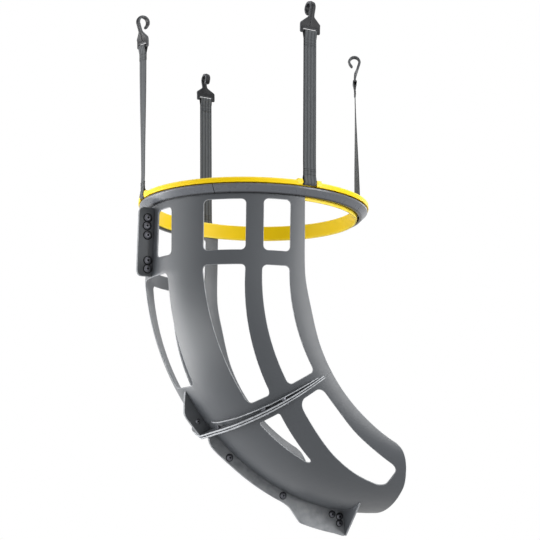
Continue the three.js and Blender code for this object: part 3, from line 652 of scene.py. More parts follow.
# Rows of the exit rim: the share of the way round to the front edge, and the share of its run.
EXIT = np.array([
    [0, 0.993], [0.31, 0.934], [0.52, 0.895], [0.66, 0.868], [0.8, 0.825], [0.88, 0.795],
    [0.93, 0.77], [0.965, 0.745], [0.985, 0.72], [1, 0.68],
])


def upper_outline():
    """Down the keel with the notch, along the split, and up the front edge."""
    keel = KEEL_TURN * ARC
    run = np.linspace(UPPER_FOOT, SHELL_TOP, 46)
    front = np.stack([run, front_turn(run) * ARC], 1)
    notch = [[SHELL_TOP, keel], [NOTCH_TOP, keel], [NOTCH_TOP, NOTCH_TURNS[0] * ARC],
             [NOTCH_FOOT, NOTCH_TURNS[1] * ARC], [NOTCH_FOOT, keel], [UPPER_FOOT, keel]]
    radii = [1.5, 2.5, 8, 8, 2.5, 1.5, *[0] * len(front)]
    return densify(rounded(np.array([*notch, *front]), radii), 5.0)


def lower_outline():
    """Down the keel, round the exit rim, and up the front edge."""
    share = flowing(EXIT, 6)
    end_run = SPLIT + EXIT_RUN * share[:, 1]
    end_turn = KEEL_TURN + (front_turn(end_run) - KEEL_TURN) * share[:, 0]
    rim = np.stack([end_run, end_turn * ARC], 1)
    run = np.linspace(rim[-1, 0], LOWER_HEAD, 24)[1:]
    front = np.stack([run, front_turn(run) * ARC], 1)
    corners = np.array([[LOWER_HEAD, KEEL_TURN * ARC], *rim, *front])
    return densify(rounded(corners, [1.5, 3.0, *[0] * (len(corners) - 2)]), 5.0)


print("outline points:", len(upper_outline()), "and", len(lower_outline()))

# %% [markdown]
# Flanges and plates bolt the shells together. The split flange is a thin fan in the section's
# plane. The keel plates and the rear tab lie side by side along the middle plane, and the fin at
# the foot closes the end of the keel, so that the chute can rub along a wall without catching.
# All of them start a little inside the wall, so that no gap shows along the joint.

# %% Surfaces of the flanges and plates
PLATE, FLANGE, FLANGE_GAP = 3.0, 2.0, 0.4
ROOT = -1.2
FLANGE_TURN, FLANGE_REACH = 88, 16
FLANGE_SHARES = [1.5, 1, 0.95, 0.92, 0.9, 0.82, 0.62, 0.35, 0.05]
# The split flange's rim is painted lighter than other rims, as a highlight.
FLANGE_RIM_HIGHLIGHT = 1.8
FIN_X, FIN_Z, FIN_ACROSS, FIN_DOWN = 188.9, -547.2, 0.1262, 0.1723


def split_surface(edge, way, side):
    """In the plane of (turn as arc length, reach out of the wall) at one run."""
    return lambda u, v, lift: chute(edge + way * (lift - FLANGE_GAP), u / ARC, v, side)


def keel_surface(side):
    """In the plane of (run along the keel, depth below it): each plate's outer face is lift 0."""
    def place(u, v, lift):
        points = chute(u, 0, v, side)
        points[..., 1] = side * (GAP + PLATE + lift)
        return points
    return place


def tab_surface(side):
    """In the plane of (x, z)."""
    return lambda u, v, lift: np.stack([u, side * (GAP + PLATE + lift) + 0 * u, v + 0 * u], -1)


def fin_surface(side):
    """The fin's plane: x falls by 0.126 of the way across and rises by 0.172 of the way down."""
    return lambda u, v, lift: np.stack([
        FIN_X - FIN_ACROSS * u - FIN_DOWN * (v - FIN_Z) + PLATE / 2 + lift, side * u, v + 0 * u,
    ], -1)


def with_rim_highlight(patch, amount):
    """The same patch with its rim's painted highlight scaled."""
    return patch[0], patch[1], patch[2] * amount


def painted_lighter(patch, amount):
    """The same patch painted at least this much lighter all over, as painted light."""
    return patch[0], patch[1], np.maximum(patch[2], amount)


def flange_reach(turn):
    """How far the split flange stands out of the wall at a turn."""
    shares = np.linspace(0, 1, len(FLANGE_SHARES))
    return FLANGE_REACH * np.interp(turn / FLANGE_TURN, shares, FLANGE_SHARES)


def fan_outline(turns, reach):
    """Out along the reach from one turn to the other, and back inside the wall."""
    outer = np.stack([turns * ARC, reach], 1)
    corners = np.array([[turns[0] * ARC, ROOT], [turns[-1] * ARC, ROOT], *outer[::-1]])
    radii = [*[0] * (len(outer) + 1), 1.2]
    return densify(rounded(corners, radii), 4.0)


def split_flange(edge, way, side):
    """The fan at one edge of the split, with a painted highlight on its rim."""
    turns = np.linspace(KEEL_TURN, FLANGE_TURN, 45)
    outline = fan_outline(turns, flange_reach(turns))
    fan = sheet(split_surface(edge, way, side), outline, thickness=FLANGE, rim=0.7)
    return with_rim_highlight(fan, FLANGE_RIM_HIGHLIGHT)


def plate(surface, corners, radii, step=4.0, spacing=5.0):
    """A plate with rounded corners."""
    return sheet(surface, densify(rounded(corners, radii), step), thickness=PLATE, spacing=spacing)


print("the split flange reaches", flange_reach(0), "mm at the keel and",
      round(float(flange_reach(45)), 1), "mm at 45 degrees")

# %% [markdown]
# A short rib runs above the split flange and meets it towards the front. It closes the pocket in
# which the nuts sit, and its edge is painted lighter as a highlight, to show as a bright line. The
# gusset stiffens the keel above the split, the rear tab bolts the two shells together, and a lip
# hangs in the collar.

# %% Upper shells
RIB_REACH = [9, 16, 60, 76, 84], [3.0, 8.5, 7.5, 5.5, 0.6]
RIB_RISE = [9, 30, 55, 74, 84], [10.0, 6.6, 5.0, 4.8, 3.4]
# The rib's rim is painted lighter as a highlight.
RIB_THICK, RIB_RIM_HIGHLIGHT = 1.5, 1.6
# Corners of (run past the split, depth below the keel).
GUSSET = np.array([[-53, ROOT], [0, ROOT], [0, 23.1], [-30.7, 24.6], [-53, 1.2]])
TAB_REACH, TAB_TOP, TAB_HEIGHT = 27.5, -28, 123
LIP_TURN, LIP_REACH, LIP_HEIGHT = 92.5, 4, 2.5


def rib(side):
    """A thin fan whose distance above the split changes with the turn."""
    turns = np.linspace(RIB_REACH[0][0], RIB_REACH[0][-1], 38)
    rise = np.interp(turns, *RIB_RISE)

    def place(u, v, lift):
        return chute(UPPER_FOOT - np.interp(u / ARC, turns, rise) + lift, u / ARC, v, side)

    outline = fan_outline(turns, np.interp(turns, *RIB_REACH))
    return with_rim_highlight(sheet(place, outline, thickness=RIB_THICK, rim=0.6), RIB_RIM_HIGHLIGHT)


def upper_shell(side):
    """Wall, split flange, rib, gusset, rear tab and lip."""
    tab_x, tab_foot = [-RADIUS - ROOT, -RADIUS - TAB_REACH], TAB_TOP - TAB_HEIGHT
    tab = [[tab_x[0], TAB_TOP], [tab_x[1], TAB_TOP], [tab_x[1], tab_foot], [tab_x[0], tab_foot]]
    turns = np.linspace(KEEL_TURN, LIP_TURN, 62)
    lip_profile = [(0, ROOT), (0, LIP_REACH), (LIP_HEIGHT, LIP_REACH), (LIP_HEIGHT, ROOT)]
    lip = [chute(SHELL_TOP + run, turns, lift, side) for run, lift in lip_profile]
    return [
        sheet(wall_surface(side), upper_outline(), upper_windows, thickness=WALL, spacing=6.0),
        split_flange(UPPER_FOOT, 1, side),
        rib(side),
        plate(keel_surface(side), GUSSET + [UPPER_FOOT, 0], [0, 0, 1.5, 8, 0]),
        plate(tab_surface(side), tab, [0, 9, 9, 0]),
        tube(np.stack(lip, 1)),
    ]


print("the rear tab is", TAB_REACH - ROOT, "by", TAB_HEIGHT, "mm")

# %% [markdown]
# The lower shells carry the keel plates and the fin. The plates' faces are painted a shade lighter
# than the walls above them, as painted light.

# %% Lower shells
KEEL_RUN, KEEL_DEPTH = 205.5, 45
KEEL_OVERHANG = 13.4
# Painted light: the keel plates' faces are drawn lighter.
KEEL_PAINTED_LIGHT = 0.8
# Rows of the plate's lower edge: the share of its run, and the share of its depth.
KEEL_LINE = np.array([
    [0, 0.47], [0.21, 0.4], [0.57, 0.41], [0.62, 0.47], [0.715, 0.89], [0.93, 0.93], [1, 1],
])
FIN_POINT, FIN_CORNER = [GAP, -594.0], [92.1, -534.6]
FIN_RUN, FIN_TURN, FIN_SINK = 13.1, 28.5, -2.0


def lower_shell(side):
    """Wall, split flange, keel plate and fin."""
    end = SPLIT + KEEL_RUN
    line = np.stack([LOWER_HEAD + (end + KEEL_OVERHANG - LOWER_HEAD) * KEEL_LINE[:, 0],
                     KEEL_DEPTH * KEEL_LINE[:, 1]], 1)
    keel = np.array([[LOWER_HEAD, ROOT], [end, ROOT], *line[::-1]])
    share = np.linspace(1, 0, 12)
    fin_turns = KEEL_TURN + (FIN_TURN - KEEL_TURN) * share
    under_wall = chute(end - FIN_RUN * share, fin_turns, FIN_SINK, 1)[:, 1:]
    fin = np.array([FIN_POINT, FIN_CORNER, *under_wall])
    return [
        sheet(wall_surface(side), lower_outline(), lower_windows, thickness=WALL, spacing=6.0),
        split_flange(LOWER_HEAD, -1, side),
        painted_lighter(plate(keel_surface(side), keel, [0, 0, 3, 0, 6, 14, 14, 20, 20]), KEEL_PAINTED_LIGHT),
        plate(fin_surface(side), fin, [2.0, 0.6, *[0] * len(share)], step=3.0, spacing=4.0),
    ]


for side, name in ((-1, "right"), (1, "left")):
    for place, build in (("upper", upper_shell), ("lower", lower_shell)):
        shell = make_piece(f"{place}_shell_{name}_moulding", build(side), shell_plastic, "chute",
                           [f"{place}_shell_{name}"])
        print(shell.name, len(shell.data.polygons), "faces")

# %% [markdown]
# The mounting ring is one yellow moulding. A flat flange lies on top, a wall drops through the
# chute's mouth, and a bead stands out of the wall for the collar to turn on. The flange is cut by
# four slots, where thick lugs carry a bar each for the straps. The straps' places and leans, in
# degrees, are kept in one table, because the ring, the webbing and the hooks all follow it.

# %% Ring helpers
STRAPS = [
    dict(name="rear", around=174.5, out=4.4, along=8.9, twist=14),
    dict(name="right", around=-87.3, out=0.8, along=-1.1, twist=0),
    dict(name="front", around=-5.5, out=-0.9, along=1.8, twist=-22),
    dict(name="left", around=92.7, out=2.8, along=0.6, twist=0),
]
BAR_REACH, BAR_HEIGHT, BAR_RADIUS, BAR_HALF = 207.4, -2.5, 2.6, 17
RING_OUTER, RING_BORE = 210.0, 185.6
CIRCLE = np.linspace(0, 2 * math.pi, 20, endpoint=False)


def turned(profile, start, end, step=2.0):
    """A profile of (radius, height) turned about Z between two angles in degrees. A whole turn
    leaves out its last row, which is the first one again."""
    angles = np.radians(np.linspace(start, end, math.ceil((end - start) / step) + 1))[:, None]
    if end - start >= 360:
        angles = angles[:-1]
    radius, height = np.asarray(profile, float).T
    return np.stack([radius * np.cos(angles), radius * np.sin(angles), height + 0 * angles], -1)


def spin_flat(points, degrees):
    """Turns flat points about the origin."""
    c, s = math.cos(math.radians(degrees)), math.sin(math.radians(degrees))
    return points @ np.array([[c, s], [-s, c]])


def level(top):
    """A level surface in (x, y)."""
    return lambda u, v, lift: np.stack([u, v, top + lift + 0 * u], -1)


def ring_arc(radius, start, end, step=2.5):
    """Points on a circle between two angles in degrees."""
    count = max(2, round(abs(end - start) / step) + 1)
    angles = np.radians(np.linspace(start, end, count))
    return radius * np.stack([np.cos(angles), np.sin(angles)], 1)


print("the ring is", 2 * RING_OUTER, "mm across, with a bore of", 2 * RING_BORE, "mm")

# %% [markdown]
# The flange and the lugs are sheets with exact outlines. The wall and the skirt under the flange's
# edge are profiles turned about the middle. The wall's foot carries a painted highlight.

# %% Mounting ring
FLANGE_THICK = 3.0
SLOT_INNER, SLOT_HALF = 199.5, 14.0
SLOT_MOUTH = np.array([[SLOT_INNER, -SLOT_HALF], [SLOT_INNER, SLOT_HALF]])
LUG_INNER, LUG_OUTER, LUG_HALF = 196.5, 210.3, 22.7
LUG_TOP, LUG_THICK = 3.0, 9.5
SKIRT_GAP = 0.12
WALL_HIGHLIGHT_BELOW = -27
WALL_PROFILE = rounded(
    [[RING_BORE, -2.0], [188.6, -2.0], [188.6, -12], [198, -12], [198, -15], [188.6, -15],
     [188.6, -29], [RING_BORE, -29], [RING_BORE, -24.5]],
    [0, 0, 0.8, 0.8, 0.8, 0.8, 1.0, 1.2, 0],
)
SKIRT_PROFILE = rounded([[207, -2.2], [210, -2.2], [210, -8.5], [207, -8.5]], [0, 0, 0.9, 0.9])

half_slot = math.degrees(math.asin(SLOT_HALF / RING_OUTER))
half_lug = math.degrees(LUG_HALF / BAR_REACH)
order = sorted(strap["around"] for strap in STRAPS)
flange_loop, skirts = [], []
for here, after in zip(order, [*order[1:], order[0] + 360]):
    flange_loop += [spin_flat(SLOT_MOUTH, here),
                    ring_arc(RING_OUTER, here + half_slot, after - half_slot)]
    skirts.append((here + half_slot + SKIRT_GAP, after - half_slot - SKIRT_GAP))
flange_loop = densify(np.concatenate(flange_loop), 6.0)
bore_loop = ring_arc(RING_BORE, 0, 360, 2.0)[:-1]
# Painted highlight along the wall's rounded foot.
wall_foot_highlight = WALL_PROFILE[:, 1] < WALL_HIGHLIGHT_BELOW
ring_patches = [
    sheet(level(0.0), flange_loop, [bore_loop], thickness=FLANGE_THICK, rim=1.0, spacing=7.0),
    tube(turned(WALL_PROFILE, 0, 360), wall_foot_highlight, closed=True),
    *[tube(turned(SKIRT_PROFILE, *ends)) for ends in skirts],
]
for strap in STRAPS:
    lug = np.concatenate([
        ring_arc(LUG_OUTER, half_slot, half_lug), ring_arc(LUG_INNER, half_lug, -half_lug),
        ring_arc(LUG_OUTER, -half_lug, -half_slot), SLOT_MOUTH,
    ])
    lug = densify(spin_flat(lug, strap["around"]), 3.0)
    ring_patches.append(sheet(level(LUG_TOP), lug, thickness=LUG_THICK, rim=1.1, spacing=4.0))
    out = BAR_REACH + BAR_RADIUS * np.cos(CIRCLE)
    height = BAR_HEIGHT + BAR_RADIUS * np.sin(CIRCLE)
    ends = [spin_flat(np.stack([out, across + 0 * out], 1), strap["around"])
            for across in (-BAR_HALF, BAR_HALF)]
    ring_patches.append(tube(np.stack([np.column_stack([end, height]) for end in ends])))
ring = make_piece("mounting_ring_moulding", ring_patches, yellow_plastic, "ring", ["mounting_ring"])
print(ring.name, len(ring.data.polygons), "faces")

# %% [markdown]
# The top edge carries a painted highlight, the foot a painted dark line of shade, and a small gap
# shows at each joint.
# Handling polishes the top edge, grime settles along the foot, and a small gap shows at each joint.
# The pins in the joints are hidden, so they keep their CAD shapes and take the steel.

# %% Collar
COLLAR = rounded(
    [[190.5, -9.9], [208, -9.9], [208, -13.2], [199.6, -21.52], [197.2, -23.9], [193.4, -23.9],
     [193.4, -20.3], [196.8, -20.3], [196.8, -17.2], [190.5, -17.2], [190.5, -15.3],
     [198.3, -15.3], [198.3, -11.7], [190.5, -11.7]],
    [0.3, 1.3, 1.4, 0, 0.5, 0.2, 0, 0, 0, 0.4, 0.4, 0, 0, 0.3],
)
# Painted highlight on the outer top edge, and painted shade along the foot.
COLLAR_HIGHLIGHT, HIGHLIGHT_FROM, HIGHLIGHT_ABOVE = 0.7, 206, -10.6
SHADE_BELOW = -22
highlighted_edge = (COLLAR[:, 0] > HIGHLIGHT_FROM) & (COLLAR[:, 1] > HIGHLIGHT_ABOVE)
collar_light_and_shade = COLLAR_HIGHLIGHT * highlighted_edge - (COLLAR[:, 1] < SHADE_BELOW)
SEAM, SEAM_HALF_GAP = 46.5, 0.55
gap_turn = math.degrees(SEAM_HALF_GAP / RING_OUTER)
collar_rows = [("rear", 180 - SEAM, 180 + SEAM), ("right", 180 + SEAM, 360 - SEAM),
               ("front", -SEAM, SEAM), ("left", SEAM, 180 - SEAM)]
for name, start, end in collar_rows:
    segment = tube(turned(COLLAR, start + gap_turn, end - gap_turn), collar_light_and_shade)
    collar = make_piece(f"collar_{name}_segment", [segment], collar_plastic, "chute",
                        [f"collar_{name}"])
for number in range(1, 5):
    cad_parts[f"collar_pin_{number}"].material_slots[0].material = dark_steel
print("collar profile:", len(COLLAR), "points")

# %% [markdown]
# Each strap runs from its lug's bar to its hook's bar. Each end is turned round the bar and
# stitched back on itself, so the last 25 mm are two layers thick. Straps are flat and pulled
# straight by the chute's weight, so they are carried along their line directly. A cloth
# simulation would only wrinkle them.

# %% Strap frames
STRAP_LENGTH, WEB_LOOP, WEB_DOUBLE, WEB_SETTLE = 265.0, 10.0, 25.0, 40.0
WEB_WIDTH, WEB_THICK = 25.4, 1.3
HOOK_BAR_RADIUS = 2.3


def smoothstep(x, start, end):
    """Three t squared minus two t cubed, for t the share of the way."""
    t = np.clip((x - start) / (end - start), 0, 1)
    return t * t * (3 - 2 * t)


def unit(vectors):
    """Each vector divided by its length."""
    return vectors / np.linalg.norm(vectors, axis=-1, keepdims=True)


def lengths(path):
    """The length along a path at each of its points."""
    return np.concatenate([[0], np.cumsum(np.linalg.norm(np.diff(path, axis=0), axis=1))])


def web_frames(strap, heights):
    """Centre line and axes at heights: the line turns from the upright lean to the sideways lean,
    and the axis across turns evenly about it. Returned in the ring's frame."""
    heights = np.atleast_1d(np.asarray(heights, float))
    out, along = np.tan(np.radians(strap["out"])), np.tan(np.radians(strap["along"]))
    upright, leaning = unit(np.array([0, out, 1.0])), unit(np.array([-along, out, 1.0]))
    settled = smoothstep(heights, WEB_LOOP, WEB_SETTLE)[:, None]
    line = upright + (leaning - upright) * settled
    origin, up = line * heights[:, None], unit(line)
    twisted = smoothstep(heights, WEB_DOUBLE, STRAP_LENGTH - WEB_DOUBLE)
    twist = np.radians(strap["twist"] * twisted)[:, None]
    flat = unit(np.array([1.0, 0, 0]) - up * up[:, :1])
    across = flat * np.cos(twist) + np.cross(up, flat) * np.sin(twist)
    outwards = np.cross(up, across)
    turn = math.radians(strap["around"] - 90)
    c, s = math.cos(turn), math.sin(turn)
    spin = np.array([[c, -s, 0], [s, c, 0], [0, 0, 1]])
    around = turn + math.pi / 2
    hanger = np.array([BAR_REACH * math.cos(around), BAR_REACH * math.sin(around), BAR_HEIGHT])
    return hanger + origin @ spin.T, across @ spin.T, outwards @ spin.T, up @ spin.T


def in_frame(frames, x, y, z):
    """Points x across, y outwards and z along the line of frames; one frame serves all points."""
    origin, across, outwards, up = frames
    x, y, z = (np.asarray(value, float)[..., None] for value in (x, y, z))
    return origin + across * x + outwards * y + up * z


for strap in STRAPS:
    top = web_frames(strap, STRAP_LENGTH)[0][0]
    print(strap["name"], "strap ends at", [round(float(value)) for value in top])

# %% [markdown]
# The webbing's cross-section is a flat with rounded selvedges and four shallow lengthwise ribs.
# The ribs are a cosine on top of the thickness. The strap's UV map measures millimetres across
# and along, and the mesh's number per point marks the selvedges, which are painted darker as shade
# on their rounded edges, and the thread, which is darker in its own colour.

# %% Webbing's section and loops
SELVEDGE, LAST_RIB = 0.90, 0.97
WEB_RIB = 0.10
LOOP_SLACK, LOOP_NARROWING = 0.3, 0.99
LOOP_START, LOOP_END = 8, -188


def web_section(thickness, points=33):
    """Across runs from edge to edge. Half thickness plus the ribs' cosine is scaled by the square
    root of one minus the twelfth power of the share, which rounds the edges."""
    share = np.linspace(-1, 1, points)
    body = np.maximum(1 - np.abs(share) ** 12, 0) ** 0.5
    ribs = WEB_RIB * np.cos(share * 4 * math.pi) * (np.abs(share) < LAST_RIB)
    half = (thickness / 2 + ribs) * body
    x = share * WEB_WIDTH / 2
    return (np.concatenate([x, x[-2:0:-1]]), np.concatenate([half, -half[-2:0:-1]]),
            np.abs(np.concatenate([share, share[-2:0:-1]])))


def strip_uv(x, along):
    """UV of a grid in millimetres: across from each column, along from each row."""
    return np.stack(np.broadcast_arrays(x, along[:, None]), -1).reshape(-1, 2)


def web_loop(frames, bar, towards):
    """The end's turn round its bar: an arc between two tangents that meet at the stitching. Its
    outward normal is the path's direction turned by a right angle."""
    radius = bar + LOOP_SLACK + WEB_THICK / 2
    angles = np.radians(np.linspace(LOOP_START, LOOP_END, 26))
    path = np.stack([radius * np.cos(angles), radius * np.sin(angles)], 1)
    reach = np.linspace(1, 0, 5, endpoint=False)[:, None]
    tip = np.array([WEB_THICK / 2, WEB_LOOP + 2.0])
    first = path[0] + (tip - path[0]) * reach
    last = path[-1] + (tip * [-1, 1] - path[-1]) * reach[::-1]
    path = np.concatenate([first, path, last])
    way = unit(np.gradient(path, axis=0))
    normal = np.stack([-way[:, 1], way[:, 0]], 1)
    x, half, edge = web_section(WEB_THICK)
    place = path[:, None] + normal[:, None] * half[None, :, None]
    across = np.broadcast_to(x * LOOP_NARROWING, place.shape[:2])
    rows = in_frame(frames, across, place[..., 0], place[..., 1] * towards)
    # The selvedges are marked for painted shade.
    return tube(rows, edge > SELVEDGE), strip_uv(x, lengths(path))


print("the webbing's section has", len(web_section(WEB_THICK)[0]), "points")

# %% [markdown]
# Three rows of stitching hold each loop shut. A row is a line of short threads on both faces,
# each bowed down into the webbing at its ends. The strap itself is one tube through all heights,
# whose section is twice as thick where the lap lies.

# %% Stitching and straps
STITCH_ROWS = (14, 20, 23.5)
STITCHES, STITCH_REACH, STITCH_HALF = 9, 10.4, 0.95
THREAD_RADIUS, THREAD_RISE, THREAD_BOW = 0.32, 0.25, 0.3
LAP_STEP = 0.5
BAND_SMOOTH = math.radians(50)


def stitches(strap, height, face):
    """A row of short threads across the strap: each is round, lies along the row, and sinks with
    the square of the way from its middle."""
    sides = np.linspace(0, 2 * math.pi, 6, endpoint=False)
    t, around = np.meshgrid(np.linspace(-1, 1, 5), sides, indexing="ij")
    radius = THREAD_RADIUS * np.sqrt(1 - 0.8 * t**2)
    frames = web_frames(strap, height)
    patches = []
    for middle in np.linspace(-STITCH_REACH, STITCH_REACH, STITCHES):
        rise = WEB_THICK + THREAD_RISE - THREAD_BOW * t**2 + radius * np.cos(around)
        rows = in_frame(frames, middle + STITCH_HALF * t, face * rise, radius * np.sin(around))
        patches.append(tube(rows, painted_light_and_marks=1.0))
    return patches


def strap_patches(strap):
    """The straight run with its doubled ends, the two loops and the stitching, with UVs."""
    laps = np.array([WEB_DOUBLE, WEB_DOUBLE + LAP_STEP])
    heights = np.unique(np.concatenate([
        np.linspace(WEB_LOOP, STRAP_LENGTH - WEB_LOOP, 92), laps, STRAP_LENGTH - laps,
    ]))
    doubled = np.minimum(heights, STRAP_LENGTH - heights) <= WEB_DOUBLE
    x, single, edge = web_section(WEB_THICK)
    double = web_section(2 * WEB_THICK)[1]
    half = np.where(doubled[:, None], double, single)
    frames = [part[:, None] for part in web_frames(strap, heights)]
    rows = in_frame(frames, np.broadcast_to(x, half.shape), half, 0 * half)
    # The selvedges are marked for painted shade.
    patches, uv = [tube(rows, edge > SELVEDGE)], [strip_uv(x, heights)]
    for height, bar, towards in ((0.0, BAR_RADIUS, 1), (STRAP_LENGTH, HOOK_BAR_RADIUS, -1)):
        patch, loop_uv = web_loop(web_frames(strap, height), bar, towards)
        patches.append(patch)
        uv.append(loop_uv)
    threads = [thread for height in (*STITCH_ROWS, *(STRAP_LENGTH - row for row in STITCH_ROWS))
               for face in (-1, 1) for thread in stitches(strap, height, face)]
    uv.append(np.zeros((sum(len(thread[0]) for thread in threads), 2)))
    return patches + threads, np.concatenate(uv)


for strap in STRAPS:
    patches, uv = strap_patches(strap)
    piece = make_piece(f"webbing_{strap['name']}", patches, webbing, f"strap_{strap['name']}",
                       [f"strap_{strap['name']}"], uv=uv, smooth=BAND_SMOOTH)
    print(piece.name, len(piece.data.polygons), "faces")

# %% [markdown]
# Each hook is one nylon moulding: a fork that holds the strap's bar, shoulders that taper to a
# neck, and a band that curls over. From the side it is one line: up from the bar, into a lean,
# and round an arc. That line, carried sideways, is the surface that the moulding follows.

# %% The hook's line
HOOK_LEAN = math.radians(18)
CURL_RADIUS, CURL_HEIGHT = 9.7, 43.2
CURL_END = math.radians(215)
NECK = CURL_HEIGHT - CURL_RADIUS / math.sin(HOOK_LEAN)
NECK_BEND = 5.0
HOOK_TIP = [[3.5], [7.0]]


def hook_path():
    """Up from the bar, a soft bend into the leaning neck, the curl's arc and the straight tip."""
    lean = np.array([math.sin(HOOK_LEAN), math.cos(HOOK_LEAN)])
    angles = np.linspace(-HOOK_LEAN, CURL_END, 60)
    curl = CURL_RADIUS * np.stack([np.cos(angles), np.sin(angles)], 1) + [0, CURL_HEIGHT]
    neck = np.array([0, NECK])
    t = np.linspace(0, 1, 12)[:, None]
    soft = ((1 - t) ** 2 * (neck - [0, NECK_BEND]) + 2 * t * (1 - t) * neck
            + t**2 * (neck + NECK_BEND * lean))
    shank = np.linspace(0, 1, 8)[1:-1, None] * (curl[0] - soft[-1]) + soft[-1]
    tip = np.array([-math.sin(CURL_END), math.cos(CURL_END)])
    return np.concatenate([[[0, -HOOK_BAR_RADIUS]], soft, shank, curl, curl[-1] + tip * HOOK_TIP])


HOOK_LINE = hook_path()
HOOK_ALONG = lengths(HOOK_LINE)
HOOK_WAY = unit(np.gradient(HOOK_LINE, HOOK_ALONG, axis=0))
HOOK_END = HOOK_ALONG[-1]


def hook_surface(frames, face):
    """In the plane of (across, length from the bar): the path's point, plus the face's distance
    and the lift along the path's direction turned by a right angle."""
    def place(u, v, lift):
        y, z = (np.interp(v, HOOK_ALONG, HOOK_LINE[:, k]) for k in (0, 1))
        wy, wz = (np.interp(v, HOOK_ALONG, HOOK_WAY[:, k]) for k in (0, 1))
        return in_frame(frames, u + 0 * v, y + (face + lift) * wz, z - (face + lift) * wy)
    return place


print("the hook's line is", round(HOOK_END, 1), "mm long")

# %% [markdown]
# Because the surface unrolls, the hook's outline is drawn flat, as (across, length from the bar),
# with the slot for the strap as part of the outline. A second, narrow sheet makes the rib up the
# middle of its face, and a rod across the slot is the bar.

# %% Hooks
HOOK_FACE, RIB_FACE, HOOK_RIB_THICK = 1.9, 2.7, 1.2
RIB_HALF, RIB_FOOT, RIB_TOP = 1.2, 12.5, 12

hook_half = [[19.5, 0], [19.5, 17.5], [5.25, 29.5], [5.25, HOOK_END]]
hook_slot = [[-13.5, 0], [-13.5, 7.6], [13.5, 7.6], [13.5, 0]]
hook_corners = np.array([*hook_half, *[[-x, y] for x, y in hook_half[::-1]], *hook_slot])
hook_radii = [2.6, 3, 5, 4.2, 4.2, 5, 3, 2.6, 2.6, 3, 3, 2.6]
hook_outline = densify(rounded(hook_corners, hook_radii), 1.8)
rib_corners = [[-RIB_HALF, RIB_FOOT], [RIB_HALF, RIB_FOOT],
               [RIB_HALF, HOOK_END - RIB_TOP], [-RIB_HALF, HOOK_END - RIB_TOP]]
rib_outline = densify(rounded(rib_corners, 1.0), 1.8)
for strap in STRAPS:
    frames = web_frames(strap, STRAP_LENGTH)
    y, z = HOOK_BAR_RADIUS * np.cos(CIRCLE), HOOK_BAR_RADIUS * np.sin(CIRCLE)
    bar = np.stack([in_frame(frames, 0 * CIRCLE + x, y, z) for x in (-BAR_HALF, BAR_HALF)])
    patches = [
        sheet(hook_surface(frames, HOOK_FACE), hook_outline, thickness=2 * HOOK_FACE, rim=1.3,
              spacing=2.2),
        sheet(hook_surface(frames, RIB_FACE), rib_outline, thickness=HOOK_RIB_THICK, rim=0.5,
              spacing=1.0),
        tube(bar),
    ]
    piece = make_piece(f"snap_hook_{strap['name']}", patches, hook_plastic, f"hook_{strap['name']}",
                       [f"hook_{strap['name']}"], smooth=BAND_SMOOTH)
print("hook outline:", len(hook_outline), "points, and its rib's:", len(rib_outline))

# %% [markdown]
# The screws have low round heads with a hexagon socket, and washers under the larger ones. A
# head is a polar grid: rings of points round the axis, whose height follows a profile. The socket
# is the same grid with its inner rings drawn out to a hexagon. A nut is such a grid as well, with
# all its outer rings drawn out to six flats.

# %% Shapes of screws and nuts
ROUND = np.linspace(0, 2 * math.pi, 36, endpoint=False)
TAB_SCREW = dict(head=6.6, socket=3.96, height=3.6, shank=2.5, nut=5.4, nut_height=4.0, washer=8.2)
KEEL_SCREW = dict(head=5.8, socket=3.51, height=3.4, shank=2.5, nut=5.2, nut_height=4.0, washer=6.9)
SPLIT_SCREW = dict(head=4.5, socket=2.88, height=3.0, shank=2.0, nut=4.3, nut_height=3.2, washer=0)
SEAT_LIFT, SCREW_TIP, POLE = 0.3, 1.0, 0.01
CROWN_FROM, CROWN_FALL = 1.12, 0.55


def hexagon(across_flats):
    """Radius of a hexagon by angle: half across flats over the cosine of the angle to its flat."""
    return across_flats / 2 / np.cos((ROUND + math.pi / 6) % (math.pi / 3) - math.pi / 6)


def spindle(point, axis, rings, painted_light_and_marks=0.0):
    """A patch of rings (radius, or radius by angle, and height) about an axis. The painted shade is
    one value, or one per ring."""
    side = unit(np.cross(axis, [0.3, 0.2, 1.0]))
    other = np.cross(axis, side)
    rows = [point + axis * height + np.outer(radius * np.cos(ROUND), side)
            + np.outer(radius * np.sin(ROUND), other) for radius, height in rings]
    return tube(np.array(rows), np.reshape(painted_light_and_marks, (-1, 1)))


def screw(point, axis, grip, size):
    """Head, shank and the end that stands out of the nut, and a washer under the larger heads.
    The head's height falls with the 2.6th power of the way out from the socket."""
    head, height, shank = size["head"], size["height"], size["shank"]
    socket = hexagon(size["socket"])
    seat = grip + SEAT_LIFT
    end = -seat - size["nut_height"] - SCREW_TIP
    crown = socket * CROWN_FROM
    dome = [(crown + (head - crown) * share, seat + height * (1 - CROWN_FALL * share**2.6))
            for share in np.linspace(0, 1, 7)]
    rings = [(POLE, seat + 0.4 * height), (socket * 0.96, seat + 0.4 * height),
             (socket, seat + 0.93 * height), *dome, (head, seat + 0.12 * height),
             (head - 0.3, seat), (shank, seat), (shank, end + 0.5), (shank - 0.5, end), (POLE, end)]
    # Painted shade in the socket's floor and along the edge under the head.
    dark = np.zeros(len(rings))
    dark[:2] = 1
    dark[-6:-4] = 1
    patches = [spindle(point, axis, rings, dark)]
    if size["washer"]:
        outer = size["washer"]
        disc = [(shank, 0.0), (outer - 0.2, 0.0), (outer, 0.15), (outer, 0.6),
                (outer - 0.2, 0.8), (shank, 0.8)]
        washer = [(radius, seat - SEAT_LIFT + rise) for radius, rise in disc]
        # The washer is painted dark all over, as shade under the head.
        patches.append(spindle(point, axis, washer, painted_light_and_marks=1.0))
    return patches


